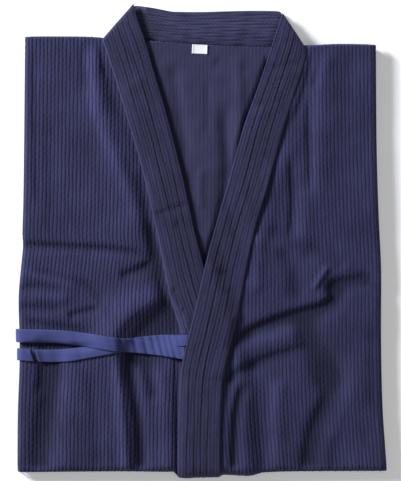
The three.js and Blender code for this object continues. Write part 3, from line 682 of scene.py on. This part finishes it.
def front_body(name, side, lapel, raise_at, finish):
    """A front: ribbed outside and plain inside, from its folded side to a seam under its lapel."""
    def seam_x(y):
        return outer_x(lapel, y) - side * LAPEL_OVERLAP

    cloth = Cloth()
    lay = {"upper": (RIB_PITCH / 6, 1.0, 0), "lower": (RIB_PITCH / 2, 2.5, CLOTH_WALL)}
    ids = {}
    for face, (pitch, spacing, wall) in lay.items():
        along = np.arange(-3 * pitch if wall == 0 else -0.45 * RIB_PITCH, 300, pitch)
        points, up, furrow, past = front_points(side, seam_x, raise_at, along, body_rows(spacing), wall)
        # The crease depth is also painted into the colour: painted shade in the troughs, painted light on
        # the swells.
        painted_crease_shade = crease_at(points[..., 0], points[..., 1]) if wall == 0 else None
        numbers = cloth.grid(points, along[None, :] + 0 * up, up, furrow, painted_crease_shade)
        last = np.argmax(past, axis=1)
        columns = np.minimum(np.arange(len(along))[None, :], last[:, None])
        numbers = np.take_along_axis(numbers, columns, 1)
        ids[face] = numbers
        if wall == 0:
            shown = np.take_along_axis(points, columns[..., None].repeat(3, 2), 1)
    cloth.close(ids["upper"], ids["lower"])
    return cloth.build(name, finish), plan_area(shown)


def back_body(finish):
    """The back's inner face, finest where the neck opening shows it."""
    def grid(across, rows, drop):
        share_x, share_y = across[None, :], rows[:, None]
        near_x = blend(-240, 240, share_x)
        y = blend(hem_y(near_x) + 12, shoulder_y(near_x) - 0.1, share_y)
        x = blend(left_x(y) + 12, right_x(y) - 12, share_x)
        furrow = rib_relief(x + 300, y)[1]
        relief = 0.22 * (furrow - 1) * (drop == 0)
        return np.stack([x, y, back_height(x, y) + relief - drop], -1), furrow

    cloth = Cloth()
    beside = np.linspace(0, 0.26, 12), np.linspace(0.76, 1, 12)
    fine_x = np.concatenate([beside[0], np.linspace(0.263, 0.75, 230), beside[1]])
    fine_y = np.concatenate([np.linspace(0, 0.4, 14), np.linspace(0.405, 1, 170)])
    points, furrow = grid(fine_x, fine_y, 0)
    upper = cloth.grid(points, furrow=furrow)
    lower = cloth.grid(grid(np.linspace(0, 1, 110), np.linspace(0, 1, 90), BACK_WALL)[0])
    cloth.close(upper, lower)
    return cloth.build("back_cloth", finish), plan_area(points)


def quilting(share, width, up, rows, low, high, phase):
    """Depth of the stitched grooves along a band, and how deep in one each point lies. Between two
    rows runs a weaker one."""
    depth, furrow = 0.0, 0.0
    for row in range(2 * rows):
        centre = blend(low, high, (row + 0.5) / (2 * rows))
        sway = 0.45 * np.sin(up / 21 + row * 2.1 + phase) + 0.2 * np.sin(up / 1.9 + 2.2 * row)
        gap = np.abs((share - centre) * width - sway)
        line = np.exp(-((gap / GROOVE_SPREAD) ** 2))
        pull = 0.72 + 0.28 * np.sin(FULL_TURN * up / STITCH_PITCH + row * 1.3)
        strength = QUILT_STRENGTHS[row // 2] * (1 if row % 2 else 0.5)
        strength = strength * (1 + 0.25 * np.sin(up / 37 + 1.9 * row + phase))
        depth = depth + line * pull * strength
        furrow = np.maximum(furrow, line * strength)
    return depth, furrow


def lapel_front(name, lapel, raise_at, folds, phase, finish):
    """A quilted lapel from the lower fold to the fold of the collar at the neck."""
    inner = np.stack([lapel["inner_x"], lapel["inner_y"]], -1)
    outer = np.stack([lapel["outer_x"], lapel["outer_y"]], -1)
    middle = (inner + outer) / 2
    length = np.concatenate([[0], np.cumsum(np.hypot(*np.diff(middle, axis=0).T))])
    near_end = length[-1] - np.array([3, 2, 1.2, 0.6, 0.2, 0])
    ups = np.concatenate([np.arange(0, length[-1] - 4, 2.3), near_end])
    places = np.interp(ups, length, np.arange(len(length)))

    def edge(points):
        at = np.arange(len(length))
        return np.stack([np.interp(places, at, points[:, k]) for k in range(2)], -1)

    inner, outer = edge(inner), edge(outer)
    width = np.hypot(*(inner - outer).T)[:, None]
    step = ((LAPEL_OVERLAP + 9) / np.abs(inner_x(lapel, outer[:, 1]) - outer[:, 0]))[:, None]
    top = np.concatenate([[0, 0, 0.006, 0.014], np.linspace(0.024, 0.976, 62), [0.986, 0.994, 1, 1]])
    outer_edge, inner_edge = [LAPEL_GAP, 1.5, 2.3, 2.7], [2.6, 2.1, 1.2, -0.9]
    shares = top[None, :] + 0 * width
    depth, furrow = quilting(shares, width, ups[:, None], QUILT_ROWS, 0.02, 0.98, phase)
    crown = LAPEL_RISE + LAPEL_CROWN * np.sin(math.pi * shares)
    rounded = crown - 0.5 * np.exp(-(((shares - 0.5) / 0.5 - 1) * width / 5) ** 2)
    rounded -= QUILT_DEPTH * depth
    rounded[:, :4] = outer_edge
    rounded[:, -4:] = inner_edge
    tucked_shares = np.concatenate([np.array([[1, 0.98, 0.84, 0.68, 0.54]]) + 0 * width, step], 1)
    resting_shares = step * np.array([[1, 0.8, 0.6, 0.4, 0.2]])
    tucked = np.full(tucked_shares.shape, -2.0)
    resting = np.full(resting_shares.shape, LAPEL_GAP)
    shares = np.concatenate([shares, tucked_shares, resting_shares], 1)
    out = np.concatenate([rounded, tucked, resting], 1)
    furrow = np.concatenate([furrow, 0 * tucked, 0 * resting], 1)
    on_top = (np.arange(shares.shape[1]) < len(top))[None, :]

    x = blend(outer[:, :1], inner[:, :1], shares)
    y = blend(outer[:, 1:], inner[:, 1:], shares)
    fold_fall = 2.4 * (1 - smoothstep(length[-1] - ups, 0, 4.5))[:, None] * (on_top & (out > LAPEL_GAP))
    creased = folds_at(folds, x, y) * on_top
    creased += 0.3 * ripple(x, y, 26, 11 + round(phase)) * on_top
    lifted = raise_at(x, y)
    z = base_at(x, y) + lifted + out - fold_fall - creased
    flat = np.stack([x, y, z], -1)

    turns = np.radians(np.arange(-14, 90, 6.5))[:, None]
    total = raise_at(x[:1], AT_HEM) + out[:1]
    hem = hem_y(x[:1]) + nose_inset("hem", turns, total)
    falls = nose_fall("hem", turns, total)
    round_hem = np.stack([x[:1] + 0 * hem, hem, base_at(x[:1] + 0 * hem, hem) + total - falls], -1)
    count = len(turns)
    points = np.concatenate([round_hem, flat])
    rows = np.concatenate([-2.0 * np.arange(count, 0, -1) - 1, ups])[:, None]
    source_rows = [0] * count + list(range(len(ups)))
    along, furrow = (shares * width)[source_rows], furrow[source_rows]
    cloth = Cloth()
    cloth.tube(cloth.grid(points, along, rows + 0 * along, furrow))
    return cloth.build(name, finish), plan_area(points[:, : len(top)])


def collar_neck(finish):
    """The collar at the back of the neck, whose inner face shows with its rows of stitching."""
    left_end, right_end, columns = -136, 141, 236
    across = np.linspace(left_end, right_end, columns)[:, None]
    low = shoulder_y(across) + BUTT_GAP
    high = np.interp(across, NECK_EDGE["across"], NECK_EDGE["y"])
    top = np.concatenate([[0, 0, 0.012], np.linspace(0.03, 0.97, 56), [0.988, 1, 1]])[None, :]
    width = high - low
    shares = top + 0 * across
    zigzag = ZIGZAG_REACH * np.arcsin(np.sin(FULL_TURN * across / ZIGZAG_PITCH)) * 0.64
    depth, furrow = 0, 0
    for row in range(NECK_ROWS):
        centre = (row + 0.5) / NECK_ROWS + 0.012 * np.sin(across / 11 + 2.1 * row)
        gap = np.abs((shares - centre) * width - zigzag * (-1) ** row)
        line = np.exp(-((gap / NECK_GROOVE) ** 2))
        line = line * (0.62 + 0.38 * np.sin(across / (7 + row) + 2.4 * row))
        depth = depth + line
        furrow = np.maximum(furrow, 0.95 * line)
    out = 0.15 - 0.75 * depth
    out[:, :3] = [-NECK_THICKNESS, -0.9, -0.3]
    out[:, -3:] = [-0.5, -1.6, -NECK_THICKNESS]
    below = UNDER_FACE[None, :] + 0 * across
    shares = np.concatenate([shares, below], 1)
    out = np.concatenate([out, np.full(below.shape, -NECK_THICKNESS)], 1)
    furrow = np.concatenate([furrow, 0 * below], 1)
    y = blend(low, high, shares)
    x = across + 0 * y
    sunk = NECK_SINK * (1 - open_at(x, y)) * (out > -NECK_THICKNESS)
    folds = folds_at(NECK_FOLDS, x, y)
    raised = (0.5 * ripple(x, y, 30, 21) - folds) * (out > -NECK_THICKNESS)
    z = level_at(x, y) - NECK_DROP + out - sunk + raised
    cloth = Cloth()
    points = np.stack([x, y, z], -1)
    # The troughs of the neck folds are painted darker: painted shade.
    cloth.tube(cloth.grid(points, y, x, furrow, np.maximum(folds, 0)))
    return cloth.build("neck_collar", finish), plan_area(points[:, : top.size])


def tie_rings(tie, xs, turns, stand_off, slant, end_fall):
    """Rings of a flat tie at places along it, or at turns round the left edge of the pack: their
    points, and where each lies on the tie."""
    share = np.concatenate([TIE_TOP, UNDER_FACE])[None, :]
    rounded = TIE_WALL + TIE_CROWN * np.sin(math.pi * TIE_TOP)
    rounded[[0, -1]] = 0
    rounded[[1, -2]] = 0.55 * TIE_WALL
    rounded[[2, -3]] = 0.85 * TIE_WALL
    out = np.concatenate([rounded, 0 * UNDER_FACE])[None, :]
    x = np.asarray(xs, float)[:, None] + 0 * share
    centre, width, lift = (np.interp(x, tie["x"], tie[key]) for key in ("y", "width", "lift"))
    y = centre + (share - 0.5) * width
    x = x + slant * (0.5 - share)
    pucker = sum(
        depth * np.exp(-(((x + 0.25 * (y + 150) - at) / spread) ** 2))
        for at, depth, spread in zip(TIE_PUCKERS["x"], TIE_PUCKERS["depth"], TIE_PUCKERS["width"])
    )
    raised = out + (PUCKER_ROOM - pucker) * (out > 0)
    total = TIE_GAP + lift + raised * (1 - end_fall)
    if turns is None:
        x = np.minimum(x, inner_x(OVER_LAPEL, y) - BUTT_GAP)
        z = base_at(x, y) + lapel_bulge(x, y) + total
        return np.stack([x, y, z], -1), share * width, x
    turn = np.radians(np.asarray(turns, float))[:, None]
    away = total + stand_off * np.cos(turn) ** 2
    x = left_x(y) + nose_inset("side", turn, away)
    z = level_at(x, y) + away - nose_fall("side", turn, away)
    return np.stack([x, y, z], -1), share * width, x - 0.2 * np.degrees(np.pi / 2 - turn)


def over_left_edge(tie, xs, last_turn, stand_off, slant, end_fall):
    """Rings of a tie at places on the pack and on round its left edge."""
    turns = np.arange(82, last_turn, -7.0)
    flat = tie_rings(tie, xs, None, 0, slant, end_fall)
    bent = tie_rings(tie, 0 * turns + ROUND_THE_EDGE, turns, stand_off, 0, 0)
    return [np.concatenate(pair) for pair in zip(flat, bent)]


def tie_upper(finish):
    """The tie that comes from the right front and leaves over the left edge."""
    points, along, up = over_left_edge(UPPER_TIE, np.arange(-22.8, -250, -1.8), -34, 2.6, 0, 0)
    cloth = Cloth()
    cloth.tube(cloth.grid(points, along, up))
    return cloth.build("upper_tie", finish), plan_area(points[:, : TIE_TOP.size])


def tie_lower(finish):
    """The tie that ends in a slanting fold, and the stub that turns down the left edge."""
    cloth = Cloth()
    xs = np.concatenate([np.arange(-18.3, -232, -1.8), [-233.5, -234.8, -235.6, -236]])
    slant = 6.0 * smoothstep(-xs, 200, 230)[:, None]
    end_fall = np.concatenate([np.zeros(len(xs) - 3), [0.12, 0.45, 0.95]])[:, None]
    points, along, up = tie_rings(LOWER_TIE, xs, None, 0, slant, end_fall)
    lump = 1.1 * smoothstep(-xs, 196, 214)[:, None] * (1 - end_fall)
    points[:, 1 : TIE_TOP.size - 1, 2] += lump
    cloth.tube(cloth.grid(points, along, up))
    area = plan_area(points[:, : TIE_TOP.size])
    stub_xs = np.array([-241.6, -241.9, -242.6, -244, -247, -250])
    slant = np.array([6.0, 6.0, 5.6, 4.6, 2, 0])[:, None]
    end_fall = np.array([0.95, 0.4, 0.1, 0, 0, 0])[:, None]
    points, along, up = over_left_edge(LOWER_TIE, stub_xs, -24, 1.2, slant, end_fall)
    cloth.tube(cloth.grid(points, along, up))
    return cloth.build("lower_tie", finish), area + plan_area(points[:, : TIE_TOP.size])


def size_label(finish):
    """A blank woven label sewn on the back below the neck seam."""
    def grid(wall, across_count, up_count):
        u = np.linspace(-0.5, 0.5, across_count)[None, :] * LABEL["width"]
        v = np.linspace(-0.5, 0.5, up_count)[:, None] * LABEL["height"]
        lean = LABEL["lean"]
        x = LABEL["x"] + u * math.cos(lean) - v * math.sin(lean)
        y = LABEL["y"] + u * math.sin(lean) + v * math.cos(lean)
        edge = np.minimum(LABEL["width"] / 2 - np.abs(u), LABEL["height"] / 2 - np.abs(v))
        seam = np.exp(-(((LABEL["height"] / 2 - v - 1.6) / 0.4) ** 2)) + 0 * u
        furrow = seam * (0.6 + 0.4 * np.sin(FULL_TURN * u / 1.8))
        curl = 0.5 * smoothstep(np.abs(u), 7, 11) - 0.25 * furrow - 0.25 * (1 - smoothstep(edge, 0, 0.8))
        z = back_height(x, y) + LAYER_GAP + (LABEL_WALL + curl if wall else 0)
        return np.stack([x, y, z + 0 * x], -1), furrow

    cloth = Cloth()
    points, furrow = grid(True, 56, 34)
    cloth.close(cloth.grid(points, furrow=furrow), cloth.grid(grid(False, 6, 4)[0]))
    return cloth.build("blank_label", finish)


def pack_outline(count):
    """The pack's outline from above, as a closed loop with small round corners."""
    up = np.linspace(0, 1, 160, endpoint=False)
    ys = blend(hem_y(-264), shoulder_y(-253), up)
    left = np.stack([left_x(ys), ys], -1)
    xs = blend(-253.2, 250.9, up)
    top = np.stack([xs, shoulder_y(xs)], -1)
    ys = blend(shoulder_y(251), hem_y(267), up)
    right = np.stack([right_x(ys), ys], -1)
    xs = blend(267, -264, up)
    hem = np.stack([xs, hem_y(xs)], -1)
    loop = np.concatenate([left, top, right, hem])
    for _ in range(3):
        loop = (np.roll(loop, 1, 0) + 2 * loop + np.roll(loop, -1, 0)) / 4
    closed = np.concatenate([loop, loop[:1]])
    run = np.concatenate([[0], np.cumsum(np.hypot(*np.diff(closed, axis=0).T))])
    at = np.linspace(0, run[-1], count, endpoint=False)
    return np.stack([np.interp(at, run, closed[:, k]) for k in range(2)], -1), at


def hem_out(x):
    """How far the outermost layer stands out at the lower fold."""
    lapel = (LAPEL_RISE + LAPEL_CROWN) * (1 - smoothstep(x, 24, 32))
    return (over_raise(x, AT_HEM) + lapel) * smoothstep(x, -40, -32)


def folded_layers(finish):
    """The layers turned under: their edges show round the pack, fold over fold."""
    loop, run = pack_outline(620)
    x, y = loop[:, 0], loop[:, 1]
    at_hem = smoothstep(-y, *HEM_TURN)
    at_top = smoothstep(y, *SHOULDER_TURN)
    y = y - at_hem * (hem_out(x) - 0.4)
    rings = []

    def by_edge(sizes):
        return blend(blend(sizes["side"], sizes["hem"], at_hem), sizes["shoulder"], at_top)

    def ring(back, z):
        back = np.asarray(back) + 0 * x
        span = np.where(y < 0, STACK_SPANS["hem"], STACK_SPANS["shoulder"])
        in_x = x * (1 - back / STACK_SPANS["side"])
        rings.append(np.stack([in_x, y * (1 - back / span), z + 0 * x], -1))

    for back in UNDERSIDE_BACKS:
        ring(back, 0.0)
        low_x, low_y = rings[-1][:, 0], rings[-1][:, 1]
        raised = 0.5 * (1 + ripple(low_x, low_y, 60, 41)) + folds_at(UNDERSIDE_FOLDS, low_x, low_y)
        rings[-1][:, 2] = np.maximum(raised, 0) * smoothstep(back, 4, 18)
    rim_drop = by_edge(RIM_DROPS)
    rim = level_at(loop[:, 0], loop[:, 1]) - rim_drop
    heights = STACK_SIDES["share"]
    for share in STACK_SHARES:
        back = by_edge({edge: np.interp(share, heights, STACK_SIDES[edge]) for edge in RIM_DROPS})
        waves = 0.8 * ripple(run, 40 * share, 70, 31) + 0.35 * ripple(run, 60 * share, 22, 32)
        lift = 0.9 * ripple(run, 0.0, 110, 33) * math.sin(math.pi * share)
        ring(back + waves * math.sin(math.pi * min(share * 1.4, 1)), rim * share + lift)
    for turn in np.radians((18, 36, 54, 72, 90)):
        reach = blend(10.0, 8.0, at_top)
        ring(reach * (1 - math.cos(turn)) + 1.5, rim + (rim_drop - 10.7) * math.sin(turn))
    for back in (40, 120, 200, 250):
        ring(back, np.minimum(rim, 11.0) - 2.0)
    points = np.stack(rings)
    along = run[None, :] + 0 * points[..., 2]
    up = points[..., 2] * 3
    # The underside's rises are hollows seen from below and go into the painted crease shade.
    painted_crease_shade = 0 * up
    below = slice(0, len(UNDERSIDE_BACKS))
    along[below], up[below], painted_crease_shade[below] = np.moveaxis(points[below], -1, 0)
    cloth = Cloth()
    cloth.tube(cloth.grid(points, along, up, None, painted_crease_shade))
    return cloth.build("turned_under_layers", finish)


def socket(tree, name, kind, outwards=False):
    """Adds a named input or output to a node group."""
    tree.interface.new_socket(name, in_out="OUTPUT" if outwards else "INPUT", socket_type=kind)


def node(tree, kind, constants=None, **settings):
    """Adds a node with its settings, and constants on its named inputs."""
    made = tree.nodes.new(kind)
    for key, value in settings.items():
        setattr(made, key, value)
    for key, value in (constants or {}).items():
        made.inputs[key].default_value = value
    return made


def maths(tree, operation, first, second):
    """A maths node on two sockets or numbers."""
    made = node(tree, "ShaderNodeMath", operation=operation)
    for place, value in enumerate((first, second)):
        if isinstance(value, (int, float)):
            made.inputs[place].default_value = value
        else:
            tree.links.new(value, made.inputs[place])
    return made.outputs[0]


def cotton_group():
    """Dyed cotton: mottled colour, painted shade in the furrows and hollows, painted light on the swells,
    threads and lint.
    """
    tree = bpy.data.node_groups.new("Dyed cotton", "ShaderNodeTree")
    socket(tree, "Dye", "NodeSocketColor")
    for name in EFFECT_INPUTS:
        socket(tree, name, "NodeSocketFloat")
    socket(tree, "Color", "NodeSocketColor", outwards=True)
    socket(tree, "Roughness", "NodeSocketFloat", outwards=True)
    socket(tree, "Normal", "NodeSocketVector", outwards=True)
    given = tree.nodes.new("NodeGroupInput").outputs
    result = tree.nodes.new("NodeGroupOutput").inputs
    weave = node(tree, "ShaderNodeAttribute", attribute_name="weave").outputs["Vector"]
    furrow = node(tree, "ShaderNodeAttribute", attribute_name="furrow").outputs["Fac"]
    painted_crease_shade = node(tree, "ShaderNodeAttribute", attribute_name="painted_crease_shade").outputs["Fac"]

    def noise(scale, detail, stretch=(1, 1, 1)):
        mapping = node(tree, "ShaderNodeMapping", {"Scale": stretch})
        made = node(tree, "ShaderNodeTexNoise", {"Scale": scale, "Detail": detail})
        tree.links.new(weave, mapping.inputs["Vector"])
        tree.links.new(mapping.outputs["Vector"], made.inputs["Vector"])
        return made.outputs["Fac"]

    def plus(first, second):
        return maths(tree, "ADD", first, second)

    def minus(first, second):
        return maths(tree, "SUBTRACT", first, second)

    def times(first, second):
        return maths(tree, "MULTIPLY", first, second)

    broad = noise(0.012, 3.0)
    streak = noise(0.5, 2.0, (1.0, 0.06, 1.0))
    thread = noise(0.9, 2.0, (1.0, 0.7, 1.0))
    lint = noise(0.55, 1.0)
    swing = plus(plus(minus(broad, 0.5), minus(streak, 0.5)), minus(thread, 0.5))
    bright = plus(1.0, times(swing, given["Mottle"]))
    # Painted shade: the colour is darkened in the grooves of ribs, quilting and seams.
    bright = times(bright, minus(1.0, times(furrow, given["Painted furrow shade"])))
    # Painted shade and light: the colour is darkened in crease troughs and lightened on their swells.
    bright = times(bright, minus(1.0, times(painted_crease_shade, given["Painted crease shade"])))
    rarest = {"From Min": 0.74, "From Max": 0.8, "To Min": 0.0, "To Max": 0.25}
    specks = node(tree, "ShaderNodeMapRange", rarest)
    tree.links.new(lint, specks.inputs["Value"])
    toned = node(tree, "ShaderNodeMix", {0: 1.0}, data_type="RGBA", blend_type="MULTIPLY")
    tree.links.new(given["Dye"], toned.inputs[6])
    tree.links.new(plus(bright, specks.outputs[0]), toned.inputs[7])
    tree.links.new(toned.outputs[2], result["Color"])
    tree.links.new(plus(0.86, times(thread, 0.12)), result["Roughness"])

    sized = node(tree, "ShaderNodeVectorMath", operation="SCALE")
    tree.links.new(weave, sized.inputs[0])
    tree.links.new(given["Thread size"], sized.inputs["Scale"])
    wave = {"Scale": 0.32, "Distortion": 1.2, "Detail": 1.0, "Detail Scale": 2.0}
    threads = node(tree, "ShaderNodeTexWave", wave)
    tree.links.new(sized.outputs[0], threads.inputs["Vector"])
    bump = node(tree, "ShaderNodeBump", {"Distance": 0.0004})
    tree.links.new(given["Thread relief"], bump.inputs["Strength"])
    tree.links.new(plus(threads.outputs["Fac"], times(thread, 1.2)), bump.inputs["Height"])
    tree.links.new(bump.outputs[0], result["Normal"])
    return tree


def cotton(name, group, dye, amounts, sheen):
    """A cotton material that takes its colour, roughness and threads from the shared group."""
    made = bpy.data.materials.new(name)
    made.use_nodes = True
    tree = made.node_tree
    surface = tree.nodes["Principled BSDF"]
    effect = node(tree, "ShaderNodeGroup", node_tree=group)
    effect.inputs["Dye"].default_value = (*dye, 1.0)
    for key, amount in zip(EFFECT_INPUTS, amounts):
        effect.inputs[key].default_value = amount
    tree.links.new(effect.outputs["Color"], surface.inputs["Base Color"])
    tree.links.new(effect.outputs["Roughness"], surface.inputs["Roughness"])
    tree.links.new(effect.outputs["Normal"], surface.inputs["Normal"])
    surface.inputs["Specular IOR Level"].default_value = 0.25
    surface.inputs["Sheen Weight"].default_value = sheen
    surface.inputs["Sheen Roughness"].default_value = 0.45
    surface.inputs["Sheen Tint"].default_value = (0.55, 0.58, 1.0, 1.0)
    return made


def pale_table():
    """The plain table under the pack. It gives off a little light, to come out white."""
    bpy.ops.mesh.primitive_plane_add(size=8, location=(0, 0, 0))
    made = bpy.context.active_object
    made.name = "table_top"
    finish = bpy.data.materials.new("Pale table")
    finish.use_nodes = True
    surface = finish.node_tree.nodes["Principled BSDF"]
    surface.inputs["Base Color"].default_value = (0.95, 0.95, 0.95, 1)
    surface.inputs["Emission Color"].default_value = (1, 1, 1, 1)
    surface.inputs["Emission Strength"].default_value = 0.25
    surface.inputs["Roughness"].default_value = 0.8
    made.data.materials.append(finish)


def soft_light(name, place, size, power, colour):
    """A square lamp that faces the middle of the pack."""
    lamp = bpy.data.lights.new(name, "AREA")
    lamp.size = size
    lamp.energy = power
    lamp.color = colour
    made = bpy.data.objects.new(name, lamp)
    made.location = place
    made.rotation_euler = (-Vector(place)).to_track_quat("-Z", "Y").to_euler()
    bpy.context.scene.collection.objects.link(made)


def room_light():
    """The even light of the room."""
    world = bpy.data.worlds.new("Room")
    world.use_nodes = True
    backdrop = world.node_tree.nodes["Background"]
    backdrop.inputs["Color"].default_value = (0.92, 0.95, 1.0, 1)
    backdrop.inputs["Strength"].default_value = 0.15
    bpy.context.scene.world = world


def overhead_camera():
    """Straight above the pack, with its whole length in view."""
    centre_x, centre_y, distance, view_height = -0.0011, -0.0014, 2.2, 0.688
    lens = bpy.data.cameras.new("Overhead")
    lens.sensor_width = 36.0
    lens.lens = lens.sensor_width * (distance - STACK_HEIGHT * MM) / view_height
    made = bpy.data.objects.new("Overhead", lens)
    made.location = (centre_x, centre_y, distance)
    bpy.context.scene.collection.objects.link(made)
    bpy.context.scene.camera = made


def dress_pack():
    """Makes the pieces, each in place of its solid."""
    group = cotton_group()
    # The first two amounts of each finish are painted shade in the grooves and in the creases; the second
    # also paints light on the swells.
    ribbed = cotton("Ribbed cotton", group, (0.037, 0.037, 0.1), (0.92, 0.085, 1.0, 0.35, 0.9), 0.35)
    inside = cotton("Inside cotton", group, (0.039, 0.038, 0.09), (0.35, 0.06, 1.0, 0.3, 0.4), 0.35)
    quilted = cotton("Quilted cotton", group, (0.041, 0.0385, 0.101), (0.85, 0.08, 1.5, 1.0, 1.0), 0.35)
    twill = cotton("Tie twill", group, (0.055, 0.066, 0.2), (0.2, 0.1, 1.6, 0.15, 0.25), 0.25)
    ribbon = cotton("Label ribbon", group, (0.97, 0.97, 0.97), (0.15, 0.0, 1.8, 0.15, 0.08), 0.1)

    stack = folded_layers(ribbed)
    declare(stack, "folded_under_layers")
    back, area = back_body(inside)
    declare(back, "back_body")
    right, area = front_body("right_front_cloth", -1, UNDER_LAPEL, no_raise, ribbed)
    declare(right, "front_right_body")
    left, area = front_body("left_front_cloth", 1, OVER_LAPEL, over_raise, ribbed)
    declare(left, "front_left_body")
    under, area = lapel_front("under_lapel", UNDER_LAPEL, no_raise, UNDER_LAPEL_FOLDS, 0.0, quilted)
    declare(under, "collar_right_front")
    over, area = lapel_front("over_lapel", OVER_LAPEL, over_raise, OVER_LAPEL_FOLDS, 2.0, quilted)
    declare(over, "collar_left_front")
    neck, area = collar_neck(quilted)
    declare(neck, "collar_back_neck")
    upper, area = tie_upper(twill)
    declare(upper, "tie_upper")
    lower, area = tie_lower(twill)
    declare(lower, "tie_lower")
    label = size_label(ribbon)
    declare(label, "size_label")


overhead_camera()
bpy.context.scene.view_settings.view_transform = "Standard"
pale_table()
room_light()
soft_light("Key", place=(-3.6, 2.28, 1.95), size=1.08, power=388, colour=(0.9, 0.92, 1.0))
soft_light("Fill", place=(1.2, -0.9, 2.4), size=1.6, power=8, colour=(1.0, 0.97, 0.93))
dress_pack()
